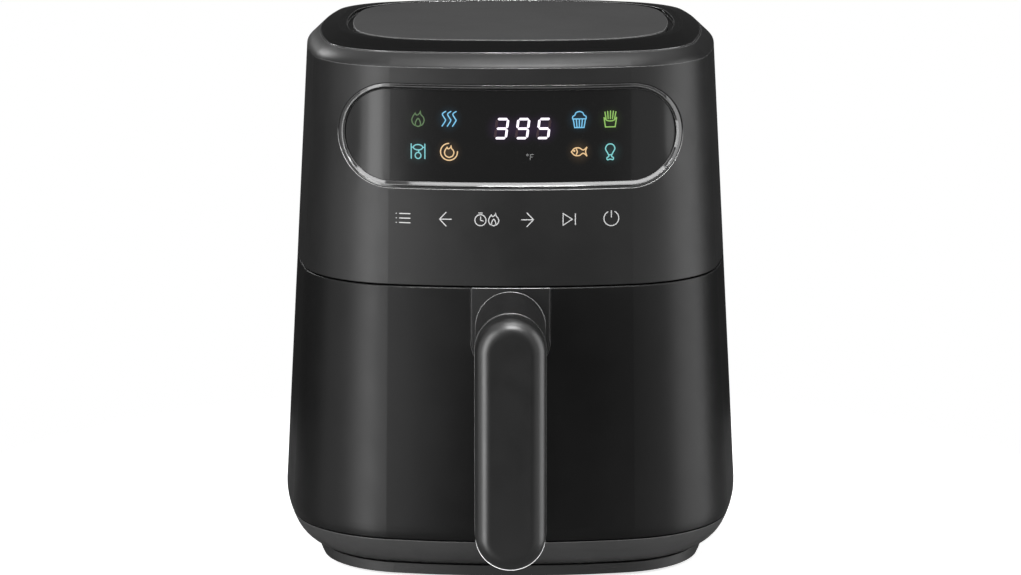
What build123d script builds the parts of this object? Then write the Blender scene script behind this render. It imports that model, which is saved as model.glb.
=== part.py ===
from build123d import *
import os
from math import atan2, cos, degrees, hypot, radians, sin, sqrt, tan

# Body, sizes taken where its drafted walls would meet the floor
BODY_WIDTH = 254.4
BODY_DEPTH = 266.2
FRONT_RADIUS = 326.0
SIDE_RADIUS = 364.0
CORNER_RADIUS = 69.0
DRAFT = 3.25
WALL = 2.6
WEB = 2.4

# Heights of the body's seams and edges
FOOT_HEIGHT = 1.5
BASE_BOTTOM = 7.0
BASE_ROUND = 24.0
BASE_SEAM = 24.4
SEAM_GAP = 0.9
SEAT_GAP = 0.15
HOUSING_SILL = 161.85
HOUSING_TOP = 282.6
SHOULDER = 6.6
EDGE_BREAK = 0.7

# Clearances
LOOSE = 0.3
SNUG = 0.1
RUNNING = 0.04

# Drawer front seen from the side
SPLIT = 23.0
SPLIT_ROUND = 28.0
SILL_ROUND = 6.0

# Plinth and feet
PLINTH_INSET = 18.5
PLINTH_WALL = 3.0
PLINTH_FLOOR = 2.0
FOOT_RADIUS = 9.0
FOOT_STEM = 3.5
FOOT_STEM_LENGTH = 4.0
FOOT_SPACING_X = 140.0
FOOT_SPACING_Y = 150.0
DECK_THICKNESS = 1.6
INTAKE_LENGTH = 36.0
INTAKE_WIDTH = 4.0
INTAKE_PITCH = 10.0
INTAKE_COUNT = 7

# Top cover and plate
COVER_INSET = 7.2
COVER_EDGE = 0.5
COVER_RISE = 3.4
COVER_LAND = 16.0
COVER_SKIRT = 5.0
PLATE_WIDTH = 173.0
PLATE_DEPTH = 163.0
PLATE_SIDE_RADIUS = 260.0
PLATE_CORNER = 46.0
PLATE_THICKNESS = 2.2
PLATE_GROOVE = 3.2
CREST_WIDTH = 4.6

# Display on the front
DISPLAY_WIDTH = 181.0
DISPLAY_HEIGHT = 54.6
DISPLAY_Z = 240.1
BEZEL_RING = 3.2
BEZEL_SET = 0.4
BEZEL_LIP = 2.0
BEZEL_FLANGE = 2.5
BEZEL_STEP = 0.2
BEZEL_EDGE = 0.35
RIM_NEAR = 0.02
RIM_SPOTS = (0.25, 0.75)
LENS_SET = 2.2
LENS_THICKNESS = 2.0
LIP_THICKNESS = 1.4
TOUCH_Z = 197.9
TOUCH_PITCH = 21.8
TOUCH_COUNT = 6
TOUCH_SHIFT = -1.8
TOUCH_RADIUS = 6.5
TOUCH_THICKNESS = 0.6

# Boards
BOARD_THICKNESS = 1.6
BOARD_BOSS = 3.0
BOARD_SCREW = 5.0
CONTROL_Y = 98.4
CONTROL_WIDTH = 146.0
CONTROL_LOW = 203.0
CONTROL_HIGH = 277.5
CONTROL_BOSS_X = 132.0
CONTROL_MARGIN = 3.8
LED_SHIFT = 6.2
LED_Z = 245.0
LED_WIDTH = 40.0
LED_HEIGHT = 22.0
LED_DEPTH = 10.0
GUIDE_SPREAD = 84.0
GUIDE_Z = 241.0
GUIDE_SIZE = 30.0
GUIDE_DEPTH = 8.0
POWER_Y = 99.0
POWER_WIDTH = 104.0
POWER_LOW = 206.0
POWER_HIGH = 262.0
POWER_MARGIN = 5.0
RELAY_SIZE = (20.0, 16.0, 18.0)
TRANSFORMER_SIZE = (26.0, 22.0, 20.0)
CAPACITOR_RADIUS = 6.0
CAPACITOR_LENGTH = 16.0

# Pan, crisper and chamber
PAN_SIDE_SPACE = 33.2
PAN_END_SPACE = 36.1
PAN_CORNER_SPACE = 29.0
PAN_WALL = 1.2
PAN_LIFT = 5.8
PAN_HEIGHT = 119.0
PAN_ROUND = 8.0
PAN_RIM = 5.0
CHAMBER_GAP = 8.0
SHEET = 1.0
CHAMBER_FRONT = 58.0
HEADROOM = 18.0
CHAMBER_FLANGE = 5.0
LINER_GAP = 1.0
SEAL_DEPTH = 2.6
RUNNER_DROP = 0.3
RUNNER_HEIGHT = 3.0
RUNNER_INSET = 1.5
RUNNER_LENGTH = 110.0
LINER_WALL = 1.6
LINER_LIFT = 1.6
CRISPER_GAP = 2.2
CRISPER_RISE = 12.2
CRISPER_THICKNESS = 1.5
CRISPER_HOLE = 3.0
CRISPER_PITCH = 18.0
CRISPER_COUNT = 9
CRISPER_FOOT = 6.0
CRISPER_STEM = 2.5
CRISPER_BUTTON = 4.0
CRISPER_BUTTON_HEIGHT = 1.4
CRISPER_FOOT_X = 126.0
CRISPER_FOOT_Y = 126.0

# Heater
REFLECTOR_RADIUS = 84.0
REFLECTOR_HEIGHT = 36.0
REFLECTOR_FLANGE = 12.0
SHAFT_HOLE = 6.0
GUARD_RISE = 2.0
GUARD_THICKNESS = 1.5
GUARD_BAR = 2.0
GUARD_HUB = 9.0
GUARD_RINGS = 4
GUARD_SPOKES = 8
ELEMENT_RISE = 11.0
ELEMENT_RADIUS = 72.0
ELEMENT_TUBE = 3.2
ELEMENT_HAIRPIN = 6.0
ELEMENT_BEND = 10.0
ELEMENT_ANGLE = 320.0
QUARTER_ANGLE = 90.0
ELEMENT_TAIL = 12.0
TERMINAL_RADIUS = 5.5
TERMINAL_HEIGHT = 7.0
CLIP_WIDTH = 8.0
CLIP_SPAN = 24.0
CLIP_ANGLE = 80.0

# Fans, shaft and motor
SHAFT_RADIUS = 3.0
SHAFT_BOTTOM_RISE = 10.0
SHAFT_LENGTH = 88.0
FAN_RADIUS = 50.0
FAN_ROOT = 16.0
FAN_BLADES = 10
FAN_BLADE_HEIGHT = 11.0
FAN_HEADROOM = 5.8
FAN_HUB = 8.0
FAN_HUB_TOP = 1.8
BLADE_THICKNESS = 1.2
NUT_FLATS = 10.0
NUT_HEIGHT = 5.0
COOLER_RISE = 11.0
COOLER_RADIUS = 46.0
COOLER_HUB = 9.0
COOLER_BLADES = 6
COOLER_CHORD = 14.0
COOLER_PITCH = 35.0
BRIDGE_RISE = 24.0
BRIDGE_SHEET = 1.5
BRIDGE_SPAN = 194.0
BRIDGE_WIDTH = 52.0
BRIDGE_FOOT = 9.0
BRIDGE_SCREW_Y = 34.0
STATOR_WIDTH = 64.0
STATOR_FRONT = 24.0
STATOR_REAR = 56.0
STATOR_HEIGHT = 20.0
STATOR_GAP = 0.4
WINDOW_WIDTH = 40.0
WINDOW_FRONT = 24.0
WINDOW_REAR = 42.0
ROTOR_RADIUS = 16.0
ROTOR_SHORT = 1.0
WINDING_WIDTH = 36.0
WINDING_BUILD = 6.0
MOTOR_BAR = 3.0
MOTOR_BAR_DEPTH = 18.0
MOTOR_BRACKET_HEIGHT = 7.5
BUSH_RADIUS = 6.0
BUSH_HOUSING = 9.0
MOTOR_SCREW_X = 52.0
MOTOR_SCREW = 1.75

# Exhaust, sensors and inlet
GRILLE_WIDTH = 76.0
GRILLE_HEIGHT = 48.0
GRILLE_CORNER = 7.0
GRILLE_Z = 138.0
GRILLE_SET = 0.6
GRILLE_FLANGE = 4.0
GRILLE_SLOT = 4.0
GRILLE_PITCH = 7.0
GRILLE_SLOTS = 5
GRILLE_SLOT_LENGTH = 54.0
GRILLE_SCREW_X = 65.0
DUCT_WIDTH = 62.0
DUCT_HEIGHT = 36.0
VENT_LENGTH = 44.0
VENT_WIDTH = 3.0
VENT_PITCH = 7.0
VENT_COUNT = 5
VENT_Z = 236.0
SENSOR_X = 75.0
SENSOR_Y = 72.0
SENSOR_RADIUS = 2.5
SENSOR_DROP = 2.5
SENSOR_FLANGE = 5.0
FUSE_X = 30.0
FUSE_Y = -44.0
FUSE_RADIUS = 2.5
FUSE_LENGTH = 14.0
MAGNET_SIDE = 27.7
MAGNET_Y = 109.0
MAGNET_SIZE = (12.0, 5.0, 5.0)
SWITCH_SIZE = (16.0, 5.0, 6.0)
GLAND_Z = 48.0
GLAND_BORE = 3.7
GLAND_BODY = 7.0
GLAND_FLANGE = 10.0
GLAND_LENGTH = 12.4
GLAND_PROUD = 1.8

# Handle
HANDLE_WIDTH = 36.6
HANDLE_REACH = 60.0
HANDLE_DROP = 4.15
HANDLE_BOTTOM = 23.9
GRIP_THICKNESS = 19.5
GRIP_BACK = 2.2
GRIP_ROUND = 8.0
BACK_ROUND = 1.6
TRIM_THICKNESS = 1.2
TRIM_PROUD = 0.3
NECK_DROP = 1.45
NECK_DEPTH = 46.0
NECK_FALL = 2.7
BRACKET_WIDTH = 41.0
BRACKET_HEIGHT = 47.95
BRACKET_PROUD = 0.6
BRACKET_GAP = 0.4
HANDLE_BOSS = 6.0
HANDLE_SCREW_DROP = 12.95
HANDLE_SCREW_SPAN = 26.0
MOUNT_X = 100.0
MOUNT_Z = 128.0
MOUNT_WIDTH = 20.0
MOUNT_HEIGHT = 26.0

# Screws
SCREW_RADIUS = 1.5
SCREW_LENGTH = 9.0
SCREW_HEAD = 3.0
SCREW_HEAD_HEIGHT = 2.0
SCREW_SLOT = 0.8
SCREW_BOSS = 5.0
CHAMBER_SCREW_X = 130.0
CHAMBER_SCREW_Y = 90.0
PLINTH_SCREW_X = 120.0
PLINTH_SCREW_Y = 110.0

# Places worked out from the sizes above
SLOPE = tan(radians(DRAFT))
FRONT_SKIN = BODY_DEPTH / 2
DRAWER_TOP = HOUSING_SILL - SEAM_GAP
HANDLE_TOP = DRAWER_TOP - HANDLE_DROP
NECK_TOP = DRAWER_TOP - NECK_DROP
BRACKET_BOTTOM = DRAWER_TOP - BRACKET_HEIGHT
HANDLE_SCREW_HIGH = DRAWER_TOP - HANDLE_SCREW_DROP
HANDLE_SCREW_LOW = HANDLE_SCREW_HIGH - HANDLE_SCREW_SPAN
MAGNET_X = (BRACKET_WIDTH / 2 + BODY_WIDTH / 2 - MAGNET_SIDE) / 2
HANDLE_FRONT = FRONT_SKIN - BRACKET_BOTTOM * SLOPE + HANDLE_REACH
HANDLE_BACK = HANDLE_FRONT - GRIP_THICKNESS
REAR_SKIN = BODY_DEPTH / 2 - GLAND_Z * SLOPE + GLAND_PROUD
GRILLE_RADIUS = FRONT_RADIUS - GRILLE_Z * SLOPE
GRILLE_BOW = GRILLE_RADIUS - sqrt(GRILLE_RADIUS**2 - (GRILLE_SCREW_X / 2 + SCREW_HEAD) ** 2)
GRILLE_SEAT = BODY_DEPTH / 2 - (GRILLE_Z + SCREW_HEAD) * SLOPE - GRILLE_SET - GRILLE_BOW
BODY_Y = (HANDLE_FRONT - REAR_SKIN) / 2
PAN_WIDTH = BODY_WIDTH - 2 * PAN_SIDE_SPACE
PAN_DEPTH = BODY_DEPTH - 2 * PAN_END_SPACE
PAN_CORNER = CORNER_RADIUS - PAN_CORNER_SPACE
DECK_TOP = BASE_SEAM - SEAT_GAP
DECK_BOTTOM = DECK_TOP - DECK_THICKNESS
BASE_FLOOR = BASE_BOTTOM + WALL
CHAMBER_BOTTOM = DECK_TOP
PAN_BOTTOM = CHAMBER_BOTTOM + SHEET + PAN_LIFT
PAN_TOP = PAN_BOTTOM + PAN_HEIGHT
CHAMBER_TOP = PAN_TOP + HEADROOM + SHEET
CHAMBER_GROW = CHAMBER_GAP + SHEET
LINER_FRONT = PAN_DEPTH / 2 + CHAMBER_GROW
LINER_BOTTOM = DECK_TOP + LINER_LIFT
CRISPER_BOTTOM = PAN_BOTTOM + PAN_WALL + CRISPER_RISE
REFLECTOR_TOP = CHAMBER_TOP + REFLECTOR_HEIGHT
ELEMENT_Z = CHAMBER_TOP + ELEMENT_RISE
ELEMENT_INNER = ELEMENT_RADIUS - 2 * ELEMENT_HAIRPIN
GUARD_Z = CHAMBER_TOP + GUARD_RISE
SHAFT_BOTTOM = CHAMBER_TOP + SHAFT_BOTTOM_RISE
FAN_DISC = REFLECTOR_TOP - SHEET - FAN_HEADROOM
FAN_LOW = FAN_DISC - FAN_BLADE_HEIGHT
COOLER_Z = REFLECTOR_TOP + COOLER_RISE
BRIDGE_Z = REFLECTOR_TOP + BRIDGE_RISE
MOTOR_LOW = BRIDGE_Z + BRIDGE_SHEET
STATOR_LOW = MOTOR_LOW + MOTOR_BRACKET_HEIGHT
STATOR_TOP = STATOR_LOW + STATOR_HEIGHT
MOTOR_TOP = STATOR_TOP + MOTOR_BRACKET_HEIGHT
COVER_TOP = HOUSING_TOP + COVER_RISE
CONTROL_MID = (CONTROL_LOW + CONTROL_HIGH) / 2
CONTROL_BOSS_Z = CONTROL_HIGH - CONTROL_LOW - 2 * CONTROL_MARGIN
POWER_MID = (POWER_LOW + POWER_HIGH) / 2
POWER_BOSS_X = POWER_WIDTH - 2 * POWER_MARGIN
POWER_BOSS_Z = POWER_HIGH - POWER_LOW - 2 * POWER_MARGIN
LENS_WIDTH = DISPLAY_WIDTH - 2 * BEZEL_RING
LENS_HEIGHT = DISPLAY_HEIGHT - 2 * BEZEL_RING
LENS_BACK = LENS_SET + LENS_THICKNESS
BOTTOM = (Align.CENTER, Align.CENTER, Align.MIN)
TOP = (Align.CENTER, Align.CENTER, Align.MAX)

# Planes through the body's upright axis: sketch x and y are X and Y, X and Z, or Y and Z
FLOOR = Plane((0, BODY_Y, 0))
FRONT = Plane((0, BODY_Y, 0), x_dir=(1, 0, 0), z_dir=(0, -1, 0))
REAR = Plane((0, BODY_Y, 0), x_dir=(-1, 0, 0), z_dir=(0, 1, 0))
SIDE = Plane((0, BODY_Y, 0), x_dir=(0, 1, 0), z_dir=(1, 0, 0))

os.makedirs("parts", exist_ok=True)


def save(piece, name):
    """Label a finished piece and write its file."""
    piece.part.label = name
    export_step(piece.part, f"parts/{name}.step")


def rounded_outline(half_width, half_depth, end_radius, side_radius, corner_radius):
    """Closed outline of eight tangent arcs, crowned on all four sides."""
    end_y = end_radius - half_depth
    side_x = half_width - side_radius
    end_reach = end_radius - corner_radius
    side_reach = side_radius - corner_radius
    span = hypot(side_x, end_y)
    along = (end_reach**2 - side_reach**2 + span**2) / (2 * span)
    across = sqrt(end_reach**2 - along**2)
    corner_x = (along * side_x + across * end_y) / span
    corner_y = end_y + (across * side_x - along * end_y) / span
    end_turn = degrees(atan2(corner_x, end_y - corner_y))
    side_turn = degrees(atan2(-corner_y, corner_x - side_x))
    corner_turn = 90 - end_turn - side_turn
    with BuildSketch() as outline:
        with BuildLine():
            for turn in (0, 180):
                end = Vector(0, end_y).rotate(Axis.Z, turn)
                side = Vector(side_x, 0).rotate(Axis.Z, turn)
                right = Vector(corner_x, corner_y).rotate(Axis.Z, turn)
                left = Vector(-corner_x, corner_y).rotate(Axis.Z, turn)
                CenterArc(end, end_radius, turn - 90 - end_turn, 2 * end_turn)
                CenterArc(side, side_radius, turn - side_turn, 2 * side_turn)
                CenterArc(right, corner_radius, turn - 90 + end_turn, corner_turn)
                CenterArc(left, corner_radius, turn + 180 + side_turn, corner_turn)
        make_face()
    return outline.sketch


def body_outline(height, inset):
    """Plan of the drafted body at a height, moved inwards by an inset."""
    shrink = inset + height * SLOPE
    return rounded_outline(
        BODY_WIDTH / 2 - shrink,
        BODY_DEPTH / 2 - shrink,
        FRONT_RADIUS - shrink,
        SIDE_RADIUS - shrink,
        CORNER_RADIUS - shrink,
    )


def plate_outline(grow):
    """Plan of the top plate, moved outwards."""
    return rounded_outline(
        PLATE_WIDTH / 2 + grow,
        PLATE_DEPTH / 2 + grow,
        PLATE_SIDE_RADIUS + grow,
        PLATE_SIDE_RADIUS + grow,
        PLATE_CORNER + grow,
    )


def pan_outline(grow):
    """Plan of the pan, moved outwards."""
    with BuildSketch() as outline:
        RectangleRounded(PAN_WIDTH + 2 * grow, PAN_DEPTH + 2 * grow, PAN_CORNER + grow)
    return outline.sketch


def display_outline(width, height, grow):
    """Slot shaped outline of the display on the front plane, moved outwards."""
    with BuildSketch() as outline:
        with Locations((0, DISPLAY_Z)):
            SlotOverall(width + 2 * grow, height + 2 * grow)
    return outline.sketch


def grille_outline(grow):
    """Outline of the rear grille on the rear plane, moved outwards."""
    with BuildSketch() as outline:
        with Locations((0, GRILLE_Z)):
            RectangleRounded(GRILLE_WIDTH + 2 * grow, GRILLE_HEIGHT + 2 * grow, GRILLE_CORNER + grow)
    return outline.sketch


def bracket_outline(grow):
    """Outline of the handle bracket on the front plane: square top, round foot."""
    half = BRACKET_WIDTH / 2
    with BuildSketch() as outline:
        with Locations((0, BRACKET_BOTTOM + half)):
            Circle(half + grow)
            Rectangle(BRACKET_WIDTH + 2 * grow, DRAWER_TOP - BRACKET_BOTTOM - half,
                      align=(Align.CENTER, Align.MIN))
    return outline.sketch


def grip_outline(grow):
    """Outline of the handle's grip on the front plane, moved outwards."""
    with BuildSketch() as outline:
        with Locations((0, (HANDLE_TOP + HANDLE_BOTTOM) / 2)):
            SlotOverall(HANDLE_TOP - HANDLE_BOTTOM + 2 * grow, HANDLE_WIDTH + 2 * grow, rotation=90)
    return outline.sketch


def front_profile(gap):
    """Side view of the drawer front, drawn back from its opening by a gap."""
    low = BASE_SEAM + gap
    high = HOUSING_SILL - gap
    rear = -SPLIT - gap
    with BuildSketch() as profile:
        with BuildLine():
            Polyline((-BODY_DEPTH, low), (rear, low), (rear, high), (-BODY_DEPTH, high), close=True)
        make_face()
        corners = profile.vertices().group_by(Axis.X)[-1].sort_by(Axis.Y)
        fillet(corners[0], SPLIT_ROUND - gap)
        fillet(profile.vertices().group_by(Axis.X)[-1].sort_by(Axis.Y)[-1], SILL_ROUND - gap)
    return profile.sketch


def drafted_block(low, high, inset):
    """Solid inside the body's drafted walls, between two heights."""
    with BuildPart() as block:
        with BuildSketch(FLOOR.offset(low)):
            add(body_outline(low, inset))
        extrude(amount=high - low, taper=DRAFT)
    return block.part


def body_envelope(inset):
    """Whole body with its round foot edge and sloped shoulder, moved inwards by an inset."""
    with BuildPart() as envelope:
        add(drafted_block(BASE_BOTTOM + inset, HOUSING_TOP - inset, inset))
        fillet(envelope.faces().sort_by(Axis.Z)[0].edges(), BASE_ROUND - inset)
        chamfer(envelope.faces().sort_by(Axis.Z)[-1].edges(), SHOULDER - (2 - sqrt(2)) * inset)
    return envelope.part


def wall_layer(profile, plane, outer_inset, inner_inset):
    """Slice of the body's wall between two insets, inside a profile on an upright plane."""
    with BuildPart() as layer:
        with BuildSketch(plane):
            add(profile)
        extrude(amount=BODY_DEPTH)
        add(drafted_block(FOOT_HEIGHT, HOUSING_TOP, outer_inset), mode=Mode.INTERSECT)
        add(drafted_block(FOOT_HEIGHT, HOUSING_TOP, inner_inset), mode=Mode.SUBTRACT)
    return layer.part


def slot_distance(spot, width, height):
    """Distance of a point from a display slot's outline, seen from the front."""
    beyond = max(abs(spot.X) - (width - height) / 2, 0)
    return abs(hypot(beyond, spot.Z - DISPLAY_Z) - height / 2)


def rim_edges(piece, width, height, inset):
    """Edges of a piece that run round a display slot at one depth under the skin."""
    skin = drafted_block(FOOT_HEIGHT, HOUSING_TOP, inset).faces()
    found = []
    for edge in piece.edges():
        spots = [edge @ share for share in RIM_SPOTS]
        along = max(slot_distance(spot, width, height) for spot in spots)
        deep = max(min(face.distance_to(spot) for face in skin) for spot in spots)
        if max(along, deep) < RIM_NEAR:
            found.append(edge)
    return found


def chamber_block(grow, low, high):
    """Solid of the pan's plan, moved outwards, between two heights."""
    with BuildPart() as block:
        with BuildSketch(FLOOR.offset(low)):
            add(pan_outline(grow))
        extrude(amount=high - low)
    return block.part


def front_half(reach):
    """Block that holds all that lies further forward than a distance from the axis."""
    with BuildPart() as block:
        with BuildSketch(FRONT.offset(reach)):
            Rectangle(2 * BODY_WIDTH, 2 * COVER_TOP)
        extrude(amount=BODY_DEPTH)
    return block.part


def screw(length):
    """Slotted pan head screw, head above the plane it stands on and shank below."""
    with BuildPart() as piece:
        Cylinder(SCREW_HEAD, SCREW_HEAD_HEIGHT, align=BOTTOM)
        fillet(piece.edges().sort_by(Axis.Z)[-1], SCREW_SLOT)
        Cylinder(SCREW_RADIUS, length, align=TOP)
        with Locations((0, 0, SCREW_HEAD_HEIGHT)):
            Box(2 * SCREW_HEAD, SCREW_SLOT, SCREW_SLOT, align=TOP, mode=Mode.SUBTRACT)
    return piece.part


# Base pan: round edged tray with bosses for the deck and slots for cooling air
with BuildPart() as base_pan:
    add(body_envelope(0))
    add(body_envelope(WALL), mode=Mode.SUBTRACT)
    split(bisect_by=FLOOR.offset(BASE_SEAM), keep=Keep.BOTTOM)
    with BuildSketch(FLOOR.offset(BASE_BOTTOM)):
        with GridLocations(CHAMBER_SCREW_X, CHAMBER_SCREW_Y, 2, 2):
            Circle(SCREW_BOSS)
    extrude(amount=DECK_BOTTOM - BASE_BOTTOM)
    with BuildSketch(FLOOR.offset(DECK_BOTTOM)):
        with GridLocations(CHAMBER_SCREW_X, CHAMBER_SCREW_Y, 2, 2):
            Circle(SCREW_RADIUS + SNUG)
    extrude(amount=-SCREW_LENGTH, mode=Mode.SUBTRACT)
    with BuildSketch(FLOOR.offset(BASE_BOTTOM)):
        with GridLocations(PLINTH_SCREW_X, PLINTH_SCREW_Y, 2, 2):
            Circle(SCREW_RADIUS + SNUG)
        with GridLocations(INTAKE_PITCH, INTAKE_PITCH, INTAKE_COUNT, 1):
            SlotOverall(INTAKE_LENGTH, INTAKE_WIDTH, rotation=90)
    extrude(amount=WALL, mode=Mode.SUBTRACT)
save(base_pan, "base_pan")

# Plinth: set back tray under the base pan, open where the cooling air comes in
with BuildPart() as plinth:
    with BuildSketch(FLOOR.offset(FOOT_HEIGHT)):
        add(body_outline(BASE_BOTTOM, PLINTH_INSET))
    extrude(amount=BASE_BOTTOM - FOOT_HEIGHT)
    with BuildSketch(FLOOR.offset(FOOT_HEIGHT + PLINTH_FLOOR)):
        add(body_outline(BASE_BOTTOM, PLINTH_INSET + PLINTH_WALL))
        with GridLocations(PLINTH_SCREW_X, PLINTH_SCREW_Y, 2, 2):
            Circle(SCREW_BOSS + WALL, mode=Mode.SUBTRACT)
    extrude(amount=BASE_BOTTOM - FOOT_HEIGHT - PLINTH_FLOOR, mode=Mode.SUBTRACT)
    with BuildSketch(FLOOR.offset(FOOT_HEIGHT)):
        with GridLocations(FOOT_SPACING_X, FOOT_SPACING_Y, 2, 2):
            Circle(FOOT_STEM + SNUG)
        with GridLocations(PLINTH_SCREW_X, PLINTH_SCREW_Y, 2, 2):
            Circle(SCREW_RADIUS + SNUG)
        with GridLocations(INTAKE_PITCH, INTAKE_PITCH, INTAKE_COUNT, 1):
            SlotOverall(INTAKE_LENGTH, INTAKE_WIDTH, rotation=90)
    extrude(amount=BASE_BOTTOM - FOOT_HEIGHT, mode=Mode.SUBTRACT)
    with BuildSketch(FLOOR.offset(FOOT_HEIGHT)):
        with GridLocations(PLINTH_SCREW_X, PLINTH_SCREW_Y, 2, 2):
            Circle(SCREW_HEAD + LOOSE)
    extrude(amount=SCREW_HEAD_HEIGHT + LOOSE, mode=Mode.SUBTRACT)
save(plinth, "plinth")

# Rubber feet: pads with a stem pushed into the plinth
with BuildPart(FLOOR) as rubber_feet:
    with GridLocations(FOOT_SPACING_X, FOOT_SPACING_Y, 2, 2):
        Cylinder(FOOT_RADIUS, FOOT_HEIGHT, align=BOTTOM)
        Cylinder(FOOT_STEM, FOOT_HEIGHT + FOOT_STEM_LENGTH, align=BOTTOM)
save(rubber_feet, "rubber_feet")

# Plinth screws: heads sunk in the plinth, pointing up into the base pan
with BuildPart(FLOOR.offset(FOOT_HEIGHT + SCREW_HEAD_HEIGHT + LOOSE)) as plinth_screws:
    with GridLocations(PLINTH_SCREW_X, PLINTH_SCREW_Y, 2, 2):
        add(screw(BASE_FLOOR - FOOT_HEIGHT - SCREW_HEAD_HEIGHT), rotation=(180, 0, 0))
save(plinth_screws, "plinth_screws")

# Base deck: plate that closes the base pan and carries the chamber
with BuildPart() as base_deck:
    with BuildSketch(FLOOR.offset(DECK_BOTTOM)):
        add(body_outline(DECK_BOTTOM, 2 * WALL))
        with GridLocations(CHAMBER_SCREW_X, CHAMBER_SCREW_Y, 2, 2):
            Circle(SCREW_RADIUS + SNUG, mode=Mode.SUBTRACT)
    extrude(amount=DECK_THICKNESS)
save(base_deck, "base_deck")

# Jambs that close the housing beside the chamber, behind the drawer front
with BuildPart() as jambs:
    add(body_envelope(WALL / 2))
    with BuildSketch(SIDE):
        with Locations((-SPLIT, BASE_SEAM + SEAT_GAP)):
            Rectangle(WEB, HOUSING_SILL - BASE_SEAM, align=(Align.MIN, Align.MIN))
    extrude(amount=BODY_WIDTH, both=True, mode=Mode.INTERSECT)
    add(chamber_block(CHAMBER_GROW + LOOSE, 0, COVER_TOP), mode=Mode.SUBTRACT)

# Bosses inside the housing for the control board in front and the power board behind
with BuildPart() as bosses:
    with BuildSketch(FRONT.offset(CONTROL_Y + BOARD_THICKNESS)):
        with Locations((0, CONTROL_MID)):
            with GridLocations(CONTROL_BOSS_X, CONTROL_BOSS_Z, 2, 2):
                Circle(BOARD_BOSS)
                Circle(SCREW_RADIUS + SNUG, mode=Mode.SUBTRACT)
    extrude(amount=BODY_DEPTH / 2)
    with BuildSketch(REAR.offset(POWER_Y + BOARD_THICKNESS)):
        with Locations((0, POWER_MID)):
            with GridLocations(POWER_BOSS_X, POWER_BOSS_Z, 2, 2):
                Circle(BOARD_BOSS)
                Circle(SCREW_RADIUS + SNUG, mode=Mode.SUBTRACT)
    extrude(amount=BODY_DEPTH / 2)
    add(body_envelope(WALL / 2), mode=Mode.INTERSECT)

# Main housing: one drafted shell, open in front for the drawer and on top for the cover
with BuildPart() as main_housing:
    add(body_envelope(0))
    add(body_envelope(WALL), mode=Mode.SUBTRACT)
    split(bisect_by=FLOOR.offset(BASE_SEAM + SEAT_GAP), keep=Keep.TOP)
    with BuildSketch(SIDE):
        add(front_profile(0))
    extrude(amount=BODY_WIDTH, both=True, mode=Mode.SUBTRACT)
    with BuildSketch(FLOOR.offset(HOUSING_TOP)):
        add(body_outline(HOUSING_TOP, COVER_LAND))
    extrude(amount=-2 * WALL, mode=Mode.SUBTRACT)
    with BuildSketch(FLOOR.offset(HOUSING_SILL)):
        add(body_outline(HOUSING_SILL, WALL / 2))
        add(pan_outline(CHAMBER_GROW + LOOSE), mode=Mode.SUBTRACT)
        with Locations((0, -SPLIT)):
            Rectangle(BODY_WIDTH, BODY_DEPTH, align=(Align.CENTER, Align.MAX), mode=Mode.INTERSECT)
    extrude(amount=WEB)
    add(jambs.part)
    add(bosses.part)
    with BuildSketch(FRONT):
        add(display_outline(DISPLAY_WIDTH, DISPLAY_HEIGHT, SEAT_GAP))
    extrude(amount=BODY_DEPTH, mode=Mode.SUBTRACT)
    with BuildSketch(REAR):
        add(grille_outline(SEAT_GAP))
        with Locations((0, GLAND_Z)):
            Circle(GLAND_BODY + SNUG)
        with Locations((0, VENT_Z)):
            with GridLocations(VENT_LENGTH, VENT_PITCH, 1, VENT_COUNT):
                SlotOverall(VENT_LENGTH, VENT_WIDTH)
    extrude(amount=BODY_DEPTH, mode=Mode.SUBTRACT)
save(main_housing, "main_housing")

# Top cover: sloped rim, flat crest and a recess for the plate, with a skirt in the housing
with BuildPart() as top_cover:
    with BuildSketch(FLOOR.offset(HOUSING_TOP)):
        add(body_outline(HOUSING_TOP, COVER_INSET))
    extrude(amount=COVER_EDGE)
    with BuildSketch(FLOOR.offset(HOUSING_TOP + COVER_EDGE)):
        add(body_outline(HOUSING_TOP, COVER_INSET))
    with BuildSketch(FLOOR.offset(COVER_TOP)):
        add(plate_outline(PLATE_GROOVE + CREST_WIDTH))
    loft(ruled=True)
    with BuildSketch(FLOOR.offset(COVER_TOP)):
        add(plate_outline(PLATE_GROOVE))
    extrude(amount=-PLATE_THICKNESS, mode=Mode.SUBTRACT)
    with BuildSketch(FLOOR.offset(HOUSING_TOP)):
        add(body_outline(HOUSING_TOP, COVER_LAND + LOOSE))
        add(body_outline(HOUSING_TOP, COVER_LAND + LOOSE + WALL), mode=Mode.SUBTRACT)
    extrude(amount=-COVER_SKIRT)
save(top_cover, "top_cover")

# Top plate: flat panel that lies in the cover's recess, with a groove left round it
with BuildPart() as top_plate:
    with BuildSketch(FLOOR.offset(COVER_TOP - PLATE_THICKNESS)):
        add(plate_outline(0))
    extrude(amount=PLATE_THICKNESS)
    chamfer(top_plate.faces().sort_by(Axis.Z)[-1].edges(), EDGE_BREAK / 2)
save(top_plate, "top_plate")

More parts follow.
